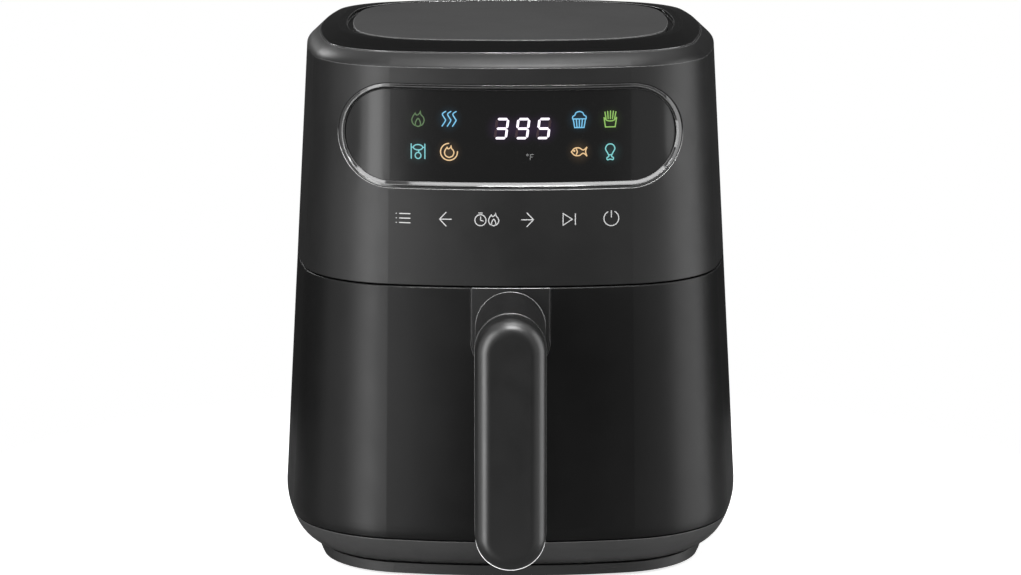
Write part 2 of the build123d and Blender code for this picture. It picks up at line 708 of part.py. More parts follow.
# Display bezel: ring that slopes down to the lens, with a lip behind it and a flange behind the wall
with BuildPart() as display_bezel:
    add(wall_layer(display_outline(DISPLAY_WIDTH, DISPLAY_HEIGHT, 0), FRONT,
                   BEZEL_SET, LENS_BACK + SNUG + LIP_THICKNESS))
    add(wall_layer(display_outline(DISPLAY_WIDTH, DISPLAY_HEIGHT, BEZEL_FLANGE), FRONT,
                   WALL + SNUG, LENS_BACK + SNUG + LIP_THICKNESS))
    lens_space = wall_layer(display_outline(LENS_WIDTH, LENS_HEIGHT, 0), FRONT, 0, LENS_BACK + SNUG)
    add(lens_space, mode=Mode.SUBTRACT)
    with BuildSketch(FRONT):
        add(display_outline(LENS_WIDTH, LENS_HEIGHT, -BEZEL_LIP))
    extrude(amount=BODY_DEPTH, mode=Mode.SUBTRACT)
    chamfer(rim_edges(display_bezel, LENS_WIDTH, LENS_HEIGHT, BEZEL_SET), LENS_SET - BEZEL_SET - BEZEL_STEP)
    fillet(rim_edges(display_bezel, DISPLAY_WIDTH, DISPLAY_HEIGHT, BEZEL_SET), BEZEL_EDGE)
save(display_bezel, "display_bezel")

# Display lens: curved dark window in the bezel
with BuildPart() as display_lens:
    add(wall_layer(display_outline(LENS_WIDTH, LENS_HEIGHT, -SNUG), FRONT, LENS_SET, LENS_BACK))
save(display_lens, "display_lens")

# Touch pads: six thin sensors on the inside of the front wall
with BuildSketch() as touch_row:
    with Locations((TOUCH_SHIFT, TOUCH_Z)):
        with GridLocations(TOUCH_PITCH, TOUCH_PITCH, TOUCH_COUNT, 1):
            Circle(TOUCH_RADIUS)
with BuildPart() as touch_pads:
    add(wall_layer(touch_row.sketch, FRONT, WALL + SNUG, WALL + SNUG + TOUCH_THICKNESS))
save(touch_pads, "touch_pads")

# Control board: upright board behind the display
with BuildPart() as control_board:
    with BuildSketch(FRONT.offset(CONTROL_Y)):
        with Locations((0, CONTROL_MID)):
            Rectangle(CONTROL_WIDTH, CONTROL_HIGH - CONTROL_LOW)
            with GridLocations(CONTROL_BOSS_X, CONTROL_BOSS_Z, 2, 2):
                Circle(SCREW_RADIUS + SNUG, mode=Mode.SUBTRACT)
    extrude(amount=BOARD_THICKNESS)
save(control_board, "control_board")

# Digit module on the control board
with BuildPart() as led_module:
    with BuildSketch(FRONT.offset(CONTROL_Y + BOARD_THICKNESS)):
        with Locations((LED_SHIFT, LED_Z)):
            Rectangle(LED_WIDTH, LED_HEIGHT)
    extrude(amount=LED_DEPTH)
save(led_module, "led_module")

# Light guides behind the two groups of icons
with BuildPart() as light_guides:
    with BuildSketch(FRONT.offset(CONTROL_Y + BOARD_THICKNESS)):
        with Locations((0, GUIDE_Z)):
            with GridLocations(GUIDE_SPREAD, GUIDE_SIZE, 2, 1):
                Rectangle(GUIDE_SIZE, GUIDE_SIZE)
    extrude(amount=GUIDE_DEPTH)
save(light_guides, "light_guides")

# Power board: upright board on the rear wall
with BuildPart() as power_board:
    with BuildSketch(REAR.offset(POWER_Y)):
        with Locations((0, POWER_MID)):
            Rectangle(POWER_WIDTH, POWER_HIGH - POWER_LOW)
            with GridLocations(POWER_BOSS_X, POWER_BOSS_Z, 2, 2):
                Circle(SCREW_RADIUS + SNUG, mode=Mode.SUBTRACT)
    extrude(amount=BOARD_THICKNESS)
save(power_board, "power_board")

# Relay, transformer and capacitor on the power board
with BuildPart() as power_components:
    with BuildSketch(REAR.offset(POWER_Y)):
        with Locations((-TRANSFORMER_SIZE[0], POWER_MID)):
            Rectangle(RELAY_SIZE[0], RELAY_SIZE[1])
    extrude(amount=-RELAY_SIZE[2])
    with BuildSketch(REAR.offset(POWER_Y)):
        with Locations((0, POWER_MID)):
            Rectangle(TRANSFORMER_SIZE[0], TRANSFORMER_SIZE[1])
    extrude(amount=-TRANSFORMER_SIZE[2])
    with BuildSketch(REAR.offset(POWER_Y)):
        with Locations((TRANSFORMER_SIZE[0], POWER_MID)):
            Circle(CAPACITOR_RADIUS)
    extrude(amount=-CAPACITOR_LENGTH)
save(power_components, "power_components")

# Screws that hold both boards to their bosses
with BuildPart() as board_screws:
    control_back = Plane((0, BODY_Y - CONTROL_Y, CONTROL_MID), x_dir=(1, 0, 0), z_dir=(0, 1, 0))
    power_face = Plane((0, BODY_Y + POWER_Y, POWER_MID), x_dir=(1, 0, 0), z_dir=(0, -1, 0))
    with Locations(control_back):
        with GridLocations(CONTROL_BOSS_X, CONTROL_BOSS_Z, 2, 2):
            add(screw(BOARD_SCREW))
    with Locations(power_face):
        with GridLocations(POWER_BOSS_X, POWER_BOSS_Z, 2, 2):
            add(screw(BOARD_SCREW))
save(board_screws, "board_screws")

# Chamber: sheet metal box round the pan, open in front, with a round opening to the heater
with BuildPart() as chamber:
    add(chamber_block(CHAMBER_GROW, CHAMBER_BOTTOM, CHAMBER_TOP))
    add(chamber_block(CHAMBER_GAP, CHAMBER_BOTTOM + SHEET, CHAMBER_TOP - SHEET), mode=Mode.SUBTRACT)
    with BuildSketch(SIDE):
        with Locations((-CHAMBER_FRONT, HOUSING_SILL)):
            Rectangle(BODY_DEPTH, BODY_DEPTH, align=(Align.MAX, Align.MAX))
    extrude(amount=BODY_WIDTH, both=True, mode=Mode.SUBTRACT)
    with BuildSketch(FLOOR.offset(CHAMBER_TOP)):
        Circle(REFLECTOR_RADIUS)
        with Locations((SENSOR_X, SENSOR_Y)):
            Circle(SENSOR_RADIUS + SNUG)
    extrude(amount=-SHEET, mode=Mode.SUBTRACT)
    with BuildSketch(FLOOR.offset(CHAMBER_BOTTOM)):
        with GridLocations(CHAMBER_SCREW_X, CHAMBER_SCREW_Y, 2, 2):
            Circle(SCREW_RADIUS + SNUG)
    extrude(amount=SHEET, mode=Mode.SUBTRACT)
    with BuildSketch(REAR):
        with Locations((0, GRILLE_Z)):
            Rectangle(DUCT_WIDTH - 4 * SHEET, DUCT_HEIGHT - 4 * SHEET)
    extrude(amount=BODY_DEPTH, mode=Mode.SUBTRACT)
save(chamber, "chamber")

# Chamber screws: through the chamber floor and the deck into the base pan's bosses
with BuildPart(FLOOR.offset(CHAMBER_BOTTOM + SHEET)) as chamber_screws:
    with GridLocations(CHAMBER_SCREW_X, CHAMBER_SCREW_Y, 2, 2):
        add(screw(SCREW_LENGTH))
save(chamber_screws, "chamber_screws")

# Chamber seal: strip round the sides of the chamber's front edge
with BuildPart() as chamber_seal:
    add(chamber_block(CHAMBER_GROW + CHAMBER_FLANGE, LINER_BOTTOM, DRAWER_TOP - WEB - LOOSE))
    add(chamber_block(CHAMBER_GROW + SNUG, 0, COVER_TOP), mode=Mode.SUBTRACT)
    with BuildSketch(SIDE):
        with Locations((-CHAMBER_FRONT, 0)):
            Rectangle(SEAL_DEPTH, COVER_TOP, align=(Align.MIN, Align.MIN))
    extrude(amount=BODY_WIDTH, both=True, mode=Mode.INTERSECT)
save(chamber_seal, "chamber_seal")

# Pan runners: two rails on the chamber's side walls, under the pan's rim
with BuildPart(FLOOR.offset(PAN_TOP - PAN_WALL - RUNNER_DROP)) as pan_runners:
    runner_width = CHAMBER_GAP - RUNNER_INSET
    with GridLocations(PAN_WIDTH + 2 * RUNNER_INSET + runner_width, RUNNER_LENGTH, 2, 1):
        Box(runner_width, RUNNER_LENGTH, RUNNER_HEIGHT, align=TOP)
save(pan_runners, "pan_runners")

# Reflector: round dish on the chamber's ceiling, over the element and the fan
with BuildPart() as reflector:
    with BuildSketch(SIDE):
        with BuildLine():
            Polyline(
                (SHAFT_HOLE, REFLECTOR_TOP - SHEET),
                (REFLECTOR_RADIUS, REFLECTOR_TOP - SHEET),
                (REFLECTOR_RADIUS, CHAMBER_TOP),
                (REFLECTOR_RADIUS + REFLECTOR_FLANGE, CHAMBER_TOP),
                (REFLECTOR_RADIUS + REFLECTOR_FLANGE, CHAMBER_TOP + SHEET),
                (REFLECTOR_RADIUS + SHEET, CHAMBER_TOP + SHEET),
                (REFLECTOR_RADIUS + SHEET, REFLECTOR_TOP),
                (SHAFT_HOLE, REFLECTOR_TOP),
                close=True,
            )
        make_face()
    revolve(axis=Axis((0, BODY_Y, 0), (0, 0, 1)))
    with BuildSketch(FLOOR.offset(REFLECTOR_TOP)):
        with Locations((ELEMENT_RADIUS, -ELEMENT_BEND), (ELEMENT_INNER, -ELEMENT_BEND)):
            Circle(ELEMENT_TUBE + SNUG)
    extrude(amount=-SHEET, mode=Mode.SUBTRACT)
    with BuildSketch(FLOOR.offset(CHAMBER_TOP)):
        with GridLocations(BRIDGE_SPAN - BRIDGE_FOOT, BRIDGE_SCREW_Y, 2, 2):
            Circle(SCREW_RADIUS + SNUG)
    extrude(amount=SHEET, mode=Mode.SUBTRACT)
save(reflector, "reflector")

# Heater guard: flat grille of rings and spokes in the reflector's mouth
with BuildPart() as heater_guard:
    with BuildSketch(FLOOR.offset(GUARD_Z)):
        Circle(REFLECTOR_RADIUS - LOOSE)
        ring_pitch = (REFLECTOR_RADIUS - LOOSE - GUARD_HUB) / GUARD_RINGS
        for ring in range(GUARD_RINGS):
            Circle(GUARD_HUB + (ring + 1) * ring_pitch - GUARD_BAR, mode=Mode.SUBTRACT)
            Circle(GUARD_HUB + ring * ring_pitch)
        with PolarLocations(REFLECTOR_RADIUS / 2, GUARD_SPOKES):
            Rectangle(REFLECTOR_RADIUS - 2 * GUARD_BAR, GUARD_BAR)
    extrude(amount=GUARD_THICKNESS)
save(heater_guard, "heater_guard")


def around(radius, turn, height):
    """Point at a radius and a turn about the body's axis."""
    return Vector(radius * cos(radians(turn)), BODY_Y + radius * sin(radians(turn)), height)


# Heating element: tube bent into two rows with a hairpin, both ends turned up
with BuildPart() as heating_element:
    with BuildLine() as element_path:
        outer_start = around(ELEMENT_RADIUS, 0, ELEMENT_Z)
        inner_end = around(ELEMENT_INNER, 0, ELEMENT_Z)
        bend = Vector(0, -ELEMENT_BEND, ELEMENT_BEND)
        tail = Vector(0, 0, REFLECTOR_TOP + ELEMENT_TAIL - ELEMENT_Z - ELEMENT_BEND)
        Line(outer_start + bend + tail, outer_start + bend)
        TangentArc(outer_start + bend, outer_start, tangent=(0, 0, -1))
        for half in (0, 1):
            first = around(ELEMENT_RADIUS, half * ELEMENT_ANGLE / 2, ELEMENT_Z)
            last = around(ELEMENT_RADIUS, (half + 1) * ELEMENT_ANGLE / 2, ELEMENT_Z)
            middle = around(ELEMENT_RADIUS, (half + 0.5) * ELEMENT_ANGLE / 2, ELEMENT_Z)
            ThreePointArc(first, middle, last)
        turn_out = around(1, ELEMENT_ANGLE + QUARTER_ANGLE, 0) - Vector(0, BODY_Y, 0)
        hairpin_end = around(ELEMENT_INNER, ELEMENT_ANGLE, ELEMENT_Z)
        TangentArc(around(ELEMENT_RADIUS, ELEMENT_ANGLE, ELEMENT_Z), hairpin_end, tangent=turn_out)
        for half in (1, 0):
            first = around(ELEMENT_INNER, (half + 1) * ELEMENT_ANGLE / 2, ELEMENT_Z)
            last = around(ELEMENT_INNER, half * ELEMENT_ANGLE / 2, ELEMENT_Z)
            middle = around(ELEMENT_INNER, (half + 0.5) * ELEMENT_ANGLE / 2, ELEMENT_Z)
            ThreePointArc(first, middle, last)
        TangentArc(inner_end, inner_end + bend, tangent=(0, -1, 0))
        Line(inner_end + bend, inner_end + bend + tail)
    with BuildSketch(Plane(outer_start + bend + tail, z_dir=(0, 0, -1))):
        Circle(ELEMENT_TUBE)
    sweep(path=element_path.wire())
save(heating_element, "heating_element")

# Element clips: three hangers from the reflector's top to both rows of the tube
with BuildPart(FLOOR.offset(ELEMENT_Z + ELEMENT_TUBE + SNUG)) as element_clips:
    clip_height = REFLECTOR_TOP - SHEET - ELEMENT_Z - ELEMENT_TUBE - SNUG
    with PolarLocations(ELEMENT_RADIUS - ELEMENT_HAIRPIN, 3, start_angle=CLIP_ANGLE, angular_range=270):
        Box(CLIP_SPAN, CLIP_WIDTH, SHEET, align=BOTTOM)
        Box(SHEET, CLIP_WIDTH, clip_height, align=BOTTOM)
save(element_clips, "element_clips")

# Element terminals: insulating collars round the tube's ends
with BuildPart(FLOOR.offset(REFLECTOR_TOP)) as element_terminals:
    with Locations((ELEMENT_RADIUS, -ELEMENT_BEND), (ELEMENT_INNER, -ELEMENT_BEND)):
        Cylinder(TERMINAL_RADIUS, TERMINAL_HEIGHT, align=BOTTOM)
    with Locations((ELEMENT_RADIUS, -ELEMENT_BEND), (ELEMENT_INNER, -ELEMENT_BEND)):
        Cylinder(ELEMENT_TUBE + SNUG, TERMINAL_HEIGHT, align=BOTTOM, mode=Mode.SUBTRACT)
save(element_terminals, "element_terminals")

# Motor shaft
with BuildPart(FLOOR.offset(SHAFT_BOTTOM)) as motor_shaft:
    Cylinder(SHAFT_RADIUS, SHAFT_LENGTH, align=BOTTOM)
save(motor_shaft, "motor_shaft")

# Hot air fan: disc with upright blades, over the element
with BuildPart(FLOOR.offset(FAN_LOW)) as hot_air_fan:
    Cylinder(FAN_HUB, FAN_BLADE_HEIGHT + FAN_HUB_TOP, align=BOTTOM)
    with Locations((0, 0, FAN_BLADE_HEIGHT)):
        Cylinder(FAN_RADIUS, BLADE_THICKNESS, align=BOTTOM)
    with PolarLocations((FAN_RADIUS + FAN_ROOT) / 2, FAN_BLADES):
        Box(FAN_RADIUS - FAN_ROOT, BLADE_THICKNESS, FAN_BLADE_HEIGHT, align=BOTTOM)
    Cylinder(SHAFT_RADIUS + SNUG, 2 * FAN_BLADE_HEIGHT, align=BOTTOM, mode=Mode.SUBTRACT)
save(hot_air_fan, "hot_air_fan")

# Fan nut under the hot air fan
with BuildPart(FLOOR.offset(FAN_LOW)) as fan_nut:
    with BuildSketch(FLOOR.offset(FAN_LOW)):
        RegularPolygon(NUT_FLATS / 2, 6, major_radius=False)
        Circle(SHAFT_RADIUS + SNUG, mode=Mode.SUBTRACT)
    extrude(amount=-NUT_HEIGHT)
save(fan_nut, "fan_nut")

# Cooling fan: pitched blades between the reflector and the motor
with BuildPart(FLOOR.offset(COOLER_Z)) as cooling_fan:
    Cylinder(COOLER_HUB, COOLER_CHORD * cos(radians(COOLER_PITCH)))
    with PolarLocations((COOLER_RADIUS + COOLER_HUB) / 2, COOLER_BLADES):
        Box(COOLER_RADIUS - COOLER_HUB + 2 * BLADE_THICKNESS, COOLER_CHORD, BLADE_THICKNESS,
            rotation=(COOLER_PITCH, 0, 0))
    Cylinder(SHAFT_RADIUS + SNUG, 2 * COOLER_CHORD, mode=Mode.SUBTRACT)
save(cooling_fan, "cooling_fan")

# Motor bridge: bent sheet that stands on the reflector's flange and carries the motor
with BuildPart() as motor_bridge:
    with BuildSketch(FRONT):
        with BuildLine():
            half_span = BRIDGE_SPAN / 2
            inside = half_span - BRIDGE_SHEET
            foot = half_span - BRIDGE_FOOT
            low = CHAMBER_TOP + SHEET
            Polyline(
                (-foot, low), (-half_span, low), (-half_span, MOTOR_LOW), (half_span, MOTOR_LOW),
                (half_span, low), (foot, low), (foot, low + BRIDGE_SHEET),
                (inside, low + BRIDGE_SHEET), (inside, BRIDGE_Z), (-inside, BRIDGE_Z),
                (-inside, low + BRIDGE_SHEET), (-foot, low + BRIDGE_SHEET), close=True,
            )
        make_face()
    extrude(amount=BRIDGE_WIDTH / 2, both=True)
    with BuildSketch(FLOOR.offset(CHAMBER_TOP)):
        with GridLocations(BRIDGE_SPAN - BRIDGE_FOOT, BRIDGE_SCREW_Y, 2, 2):
            Circle(SCREW_RADIUS + SNUG)
    extrude(amount=BRIDGE_RISE, mode=Mode.SUBTRACT)
    with BuildSketch(FLOOR.offset(BRIDGE_Z)):
        Circle(SHAFT_HOLE)
        with GridLocations(MOTOR_SCREW_X, MOTOR_SCREW_X, 2, 1):
            Circle(MOTOR_SCREW + SNUG)
    extrude(amount=BRIDGE_SHEET, mode=Mode.SUBTRACT)
save(motor_bridge, "motor_bridge")

# Bridge screws: through the bridge's feet into the reflector's flange
with BuildPart(FLOOR.offset(CHAMBER_TOP + SHEET + BRIDGE_SHEET)) as bridge_screws:
    with GridLocations(BRIDGE_SPAN - BRIDGE_FOOT, BRIDGE_SCREW_Y, 2, 2):
        add(screw(BRIDGE_SHEET + SHEET))
save(bridge_screws, "bridge_screws")


def motor_bracket(plane):
    """Bar with a bush housing and two posts that reach the stator, standing on a plane."""
    with BuildPart(plane) as bracket:
        Box(MOTOR_SCREW_X + MOTOR_BAR_DEPTH / 2, MOTOR_BAR_DEPTH, MOTOR_BAR, align=BOTTOM)
        Cylinder(BUSH_HOUSING, MOTOR_BRACKET_HEIGHT - ROTOR_SHORT / 2, align=BOTTOM)
        with GridLocations(MOTOR_SCREW_X, MOTOR_SCREW_X, 2, 1):
            Cylinder(MOTOR_BAR_DEPTH / 4, MOTOR_BRACKET_HEIGHT, align=BOTTOM)
            Cylinder(MOTOR_SCREW + SNUG, MOTOR_BRACKET_HEIGHT, align=BOTTOM, mode=Mode.SUBTRACT)
        Cylinder(BUSH_RADIUS, MOTOR_BRACKET_HEIGHT, align=BOTTOM, mode=Mode.SUBTRACT)
    return bracket


# Motor brackets: the upper one is the lower one turned over
motor_lower_bracket = motor_bracket(FLOOR.offset(MOTOR_LOW))
save(motor_lower_bracket, "motor_lower_bracket")
motor_upper_bracket = motor_bracket(Plane((0, BODY_Y, MOTOR_TOP), z_dir=(0, 0, -1)))
save(motor_upper_bracket, "motor_upper_bracket")

# Motor bushes: two plain bearings for the shaft
with BuildPart(FLOOR.offset(MOTOR_LOW)) as motor_bushes:
    with Locations((0, 0, 0), (0, 0, MOTOR_TOP - MOTOR_LOW - MOTOR_BRACKET_HEIGHT + ROTOR_SHORT / 2)):
        Cylinder(BUSH_RADIUS - SNUG / 2, MOTOR_BRACKET_HEIGHT - ROTOR_SHORT / 2, align=BOTTOM)
    Cylinder(SHAFT_RADIUS + RUNNING, MOTOR_TOP - MOTOR_LOW, align=BOTTOM, mode=Mode.SUBTRACT)
save(motor_bushes, "motor_bushes")

# Motor stator: iron stack with a round bore and a window for the winding
with BuildPart() as motor_stator:
    with BuildSketch(FLOOR.offset(STATOR_LOW)):
        with Locations((0, -STATOR_FRONT)):
            Rectangle(STATOR_WIDTH, STATOR_FRONT + STATOR_REAR, align=(Align.CENTER, Align.MIN))
        Circle(ROTOR_RADIUS + STATOR_GAP, mode=Mode.SUBTRACT)
        with Locations((0, WINDOW_FRONT)):
            Rectangle(WINDOW_WIDTH, WINDOW_REAR - WINDOW_FRONT,
                      align=(Align.CENTER, Align.MIN), mode=Mode.SUBTRACT)
        with GridLocations(MOTOR_SCREW_X, MOTOR_SCREW_X, 2, 1):
            Circle(MOTOR_SCREW + SNUG, mode=Mode.SUBTRACT)
    extrude(amount=STATOR_HEIGHT)
save(motor_stator, "motor_stator")

# Motor winding: coil round the stator's rear limb
with BuildPart() as motor_winding:
    limb_depth = STATOR_REAR - WINDOW_REAR
    with BuildSketch(SIDE):
        with Locations(((STATOR_REAR + WINDOW_REAR) / 2, (STATOR_LOW + STATOR_TOP) / 2)):
            RectangleRounded(limb_depth + 2 * WINDING_BUILD, STATOR_HEIGHT + 2 * WINDING_BUILD,
                             WINDING_BUILD)
            Rectangle(limb_depth + 2 * SNUG, STATOR_HEIGHT + 2 * SNUG, mode=Mode.SUBTRACT)
    extrude(amount=WINDING_WIDTH / 2, both=True)
save(motor_winding, "motor_winding")

# Motor rotor
with BuildPart(FLOOR.offset(STATOR_LOW + ROTOR_SHORT)) as motor_rotor:
    Cylinder(ROTOR_RADIUS, STATOR_HEIGHT - 2 * ROTOR_SHORT, align=BOTTOM)
    Cylinder(SHAFT_RADIUS + SNUG, STATOR_HEIGHT, align=BOTTOM, mode=Mode.SUBTRACT)
save(motor_rotor, "motor_rotor")

# Motor screws: two long screws through brackets, stator and bridge
with BuildPart(FLOOR.offset(MOTOR_TOP)) as motor_screws:
    with GridLocations(MOTOR_SCREW_X, MOTOR_SCREW_X, 2, 1):
        Cylinder(SCREW_HEAD, SCREW_HEAD_HEIGHT, align=BOTTOM)
        Cylinder(MOTOR_SCREW, MOTOR_TOP - BRIDGE_Z, align=TOP)
save(motor_screws, "motor_screws")

# Exhaust grille: slotted panel in the rear wall, with flat seats for its screws
with BuildPart() as exhaust_grille:
    add(wall_layer(grille_outline(0), REAR, GRILLE_SET, WALL + WEB))
    add(wall_layer(grille_outline(GRILLE_FLANGE), REAR, WALL + SNUG, WALL + WEB))
    with BuildSketch(REAR):
        with Locations((0, GRILLE_Z)):
            with GridLocations(GRILLE_SLOT_LENGTH, GRILLE_PITCH, 1, GRILLE_SLOTS):
                SlotOverall(GRILLE_SLOT_LENGTH, GRILLE_SLOT)
            with GridLocations(GRILLE_SCREW_X, GRILLE_PITCH, 2, 1):
                Circle(SCREW_RADIUS + SNUG)
    extrude(amount=BODY_DEPTH, mode=Mode.SUBTRACT)
    with BuildSketch(REAR.offset(GRILLE_SEAT)):
        with Locations((0, GRILLE_Z)):
            with GridLocations(GRILLE_SCREW_X, GRILLE_PITCH, 2, 1):
                Circle(SCREW_HEAD + LOOSE)
    extrude(amount=BODY_DEPTH, mode=Mode.SUBTRACT)
save(exhaust_grille, "exhaust_grille")

# Exhaust duct: short channel from the chamber's rear window to the grille
with BuildPart() as exhaust_duct:
    with BuildSketch(REAR.offset(PAN_DEPTH / 2 + CHAMBER_GROW)):
        with Locations((0, GRILLE_Z)):
            Rectangle(DUCT_WIDTH, DUCT_HEIGHT)
            Rectangle(DUCT_WIDTH - 2 * SHEET, DUCT_HEIGHT - 2 * SHEET, mode=Mode.SUBTRACT)
    extrude(amount=BODY_DEPTH / 2)
    add(drafted_block(FOOT_HEIGHT, HOUSING_TOP, WALL + WEB + SNUG), mode=Mode.INTERSECT)
save(exhaust_duct, "exhaust_duct")

# Grille screws, seen from behind
with BuildPart(REAR.offset(GRILLE_SEAT)) as grille_screws:
    with Locations((0, GRILLE_Z)):
        with GridLocations(GRILLE_SCREW_X, GRILLE_PITCH, 2, 1):
            add(screw(SCREW_LENGTH))
save(grille_screws, "grille_screws")

# Temperature sensor: probe through the chamber's ceiling
with BuildPart(FLOOR.offset(CHAMBER_TOP)) as temperature_sensor:
    with Locations((SENSOR_X, SENSOR_Y)):
        Cylinder(SENSOR_FLANGE, BRIDGE_SHEET, align=BOTTOM)
        Cylinder(SENSOR_RADIUS, SHEET + SENSOR_DROP, align=TOP)
        Cylinder(SENSOR_RADIUS, 2 * SENSOR_FLANGE, align=BOTTOM)
save(temperature_sensor, "temperature_sensor")

# Thermal fuse: capsule on a saddle on top of the reflector
with BuildPart(FLOOR.offset(REFLECTOR_TOP)) as thermal_fuse:
    with Locations((FUSE_X, FUSE_Y)):
        Box(FUSE_LENGTH / 2, 2 * FUSE_RADIUS, FUSE_RADIUS, align=BOTTOM)
    with Locations((FUSE_X, FUSE_Y, FUSE_RADIUS)):
        Cylinder(FUSE_RADIUS, FUSE_LENGTH, rotation=(0, 90, 0))
save(thermal_fuse, "thermal_fuse")

# Drawer sensor: magnetic switch on the housing's sill
with BuildPart(FLOOR.offset(HOUSING_SILL + WEB)) as drawer_sensor:
    with Locations((MAGNET_X, -MAGNET_Y)):
        Box(*SWITCH_SIZE, align=BOTTOM)
save(drawer_sensor, "drawer_sensor")

# Cord gland: bushing in the rear wall, with a flange outside and a ring inside
with BuildPart() as gland_ring:
    with BuildSketch(REAR.offset(REAR_SKIN)):
        with Locations((0, GLAND_Z)):
            Circle(GLAND_FLANGE)
    extrude(amount=-GLAND_LENGTH)
    add(drafted_block(FOOT_HEIGHT, HOUSING_TOP, WALL + SNUG), mode=Mode.INTERSECT)
with BuildPart() as cord_gland:
    with BuildSketch(REAR.offset(REAR_SKIN)):
        with Locations((0, GLAND_Z)):
            Circle(GLAND_FLANGE)
    extrude(amount=-GLAND_LENGTH)
    add(drafted_block(FOOT_HEIGHT, HOUSING_TOP, -SNUG), mode=Mode.SUBTRACT)
    add(gland_ring.part)
    with BuildSketch(REAR.offset(REAR_SKIN)):
        with Locations((0, GLAND_Z)):
            Circle(GLAND_BODY)
    extrude(amount=-GLAND_LENGTH)
    with BuildSketch(REAR.offset(REAR_SKIN)):
        with Locations((0, GLAND_Z)):
            Circle(GLAND_BORE)
    extrude(amount=-GLAND_LENGTH, mode=Mode.SUBTRACT)
save(cord_gland, "cord_gland")

# Drawer front: drafted shell with webs to the liner and a notch for the handle bracket
with BuildPart() as drawer_webs:
    for web_low in (LINER_BOTTOM, DRAWER_TOP - WEB):
        with BuildSketch(FLOOR.offset(web_low)):
            add(body_outline(web_low + WEB, WALL / 2))
            add(pan_outline(CHAMBER_GROW + SNUG), mode=Mode.SUBTRACT)
            with Locations((0, -CHAMBER_FRONT - LINER_GAP)):
                Rectangle(BODY_WIDTH, BODY_DEPTH, align=(Align.CENTER, Align.MAX), mode=Mode.INTERSECT)
        extrude(amount=WEB)
with BuildPart() as drawer_front:
    add(drafted_block(BASE_BOTTOM, DRAWER_TOP, 0))
    fillet(drawer_front.faces().sort_by(Axis.Z)[0].edges(), BASE_ROUND)
    fillet(drawer_front.faces().sort_by(Axis.Z)[-1].edges(), EDGE_BREAK)
    add(body_envelope(WALL), mode=Mode.SUBTRACT)
    with BuildSketch(SIDE):
        add(front_profile(SEAM_GAP))
    extrude(amount=BODY_WIDTH, both=True, mode=Mode.INTERSECT)
    add(drawer_webs.part)
    with BuildSketch(FRONT.offset(LINER_FRONT + HANDLE_BOSS)):
        add(bracket_outline(BRACKET_GAP))
    extrude(amount=BODY_DEPTH, mode=Mode.SUBTRACT)
save(drawer_front, "drawer_front")

# Drawer liner: front half of a sheet box round the pan, fixed to the drawer front
with BuildPart() as drawer_liner:
    add(chamber_block(CHAMBER_GROW, LINER_BOTTOM, DRAWER_TOP))
    add(chamber_block(CHAMBER_GROW - LINER_WALL, LINER_BOTTOM + LINER_WALL, COVER_TOP), mode=Mode.SUBTRACT)
    add(front_half(CHAMBER_FRONT + LINER_GAP), mode=Mode.INTERSECT)
    with BuildSketch(FRONT):
        with Locations((0, HANDLE_SCREW_LOW), (0, HANDLE_SCREW_HIGH)):
            Circle(SCREW_RADIUS + SNUG)
    extrude(amount=BODY_DEPTH, mode=Mode.SUBTRACT)
save(drawer_liner, "drawer_liner")

# Pan: drawn tray with a round floor edge and an outward rim
with BuildPart() as pan:
    add(chamber_block(0, PAN_BOTTOM, PAN_TOP))
    fillet(pan.faces().sort_by(Axis.Z)[0].edges(), PAN_ROUND)
    with BuildPart(mode=Mode.PRIVATE) as pan_inside:
        add(chamber_block(-PAN_WALL, PAN_BOTTOM + PAN_WALL, PAN_TOP))
        fillet(pan_inside.faces().sort_by(Axis.Z)[0].edges(), PAN_ROUND - PAN_WALL)
    add(chamber_block(PAN_RIM, PAN_TOP - PAN_WALL, PAN_TOP))
    add(pan_inside.part, mode=Mode.SUBTRACT)
save(pan, "pan")

# Pan mounts: two blocks between the pan's front wall and the liner
with BuildPart() as pan_mounts:
    with BuildSketch(FRONT.offset(PAN_DEPTH / 2 - PAN_CORNER)):
        with Locations((0, MOUNT_Z)):
            with GridLocations(MOUNT_X, MOUNT_HEIGHT, 2, 1):
                Rectangle(MOUNT_WIDTH, MOUNT_HEIGHT)
    extrude(amount=BODY_DEPTH / 2)
    add(chamber_block(CHAMBER_GROW - LINER_WALL, 0, COVER_TOP), mode=Mode.INTERSECT)
    add(chamber_block(0, 0, COVER_TOP), mode=Mode.SUBTRACT)
save(pan_mounts, "pan_mounts")

# Handle bracket: plate in the drawer front's notch, neck outside and boss inside
with BuildPart() as handle_bracket:
    add(wall_layer(bracket_outline(0), FRONT, -BRACKET_PROUD, WALL))
    with BuildSketch(FRONT.offset(LINER_FRONT + HANDLE_BOSS)):
        with Locations((0, NECK_TOP - NECK_DEPTH / 2)):
            SlotOverall(NECK_DEPTH, HANDLE_WIDTH, rotation=90)
    with BuildSketch(FRONT.offset(HANDLE_BACK)):
        with Locations((0, NECK_TOP - NECK_DEPTH / 2)):
            SlotOverall(NECK_DEPTH - 2 * NECK_FALL, HANDLE_WIDTH, rotation=90)
    loft(ruled=True)
    with BuildSketch(FRONT.offset(LINER_FRONT)):
        with Locations((0, HANDLE_SCREW_LOW), (0, HANDLE_SCREW_HIGH)):
            Circle(HANDLE_BOSS)
    extrude(amount=2 * HANDLE_BOSS)
    with BuildSketch(FRONT.offset(LINER_FRONT)):
        with Locations((0, HANDLE_SCREW_LOW), (0, HANDLE_SCREW_HIGH)):
            Circle(SCREW_RADIUS + SNUG)
    extrude(amount=2 * SCREW_LENGTH, mode=Mode.SUBTRACT)
save(handle_bracket, "handle_bracket")

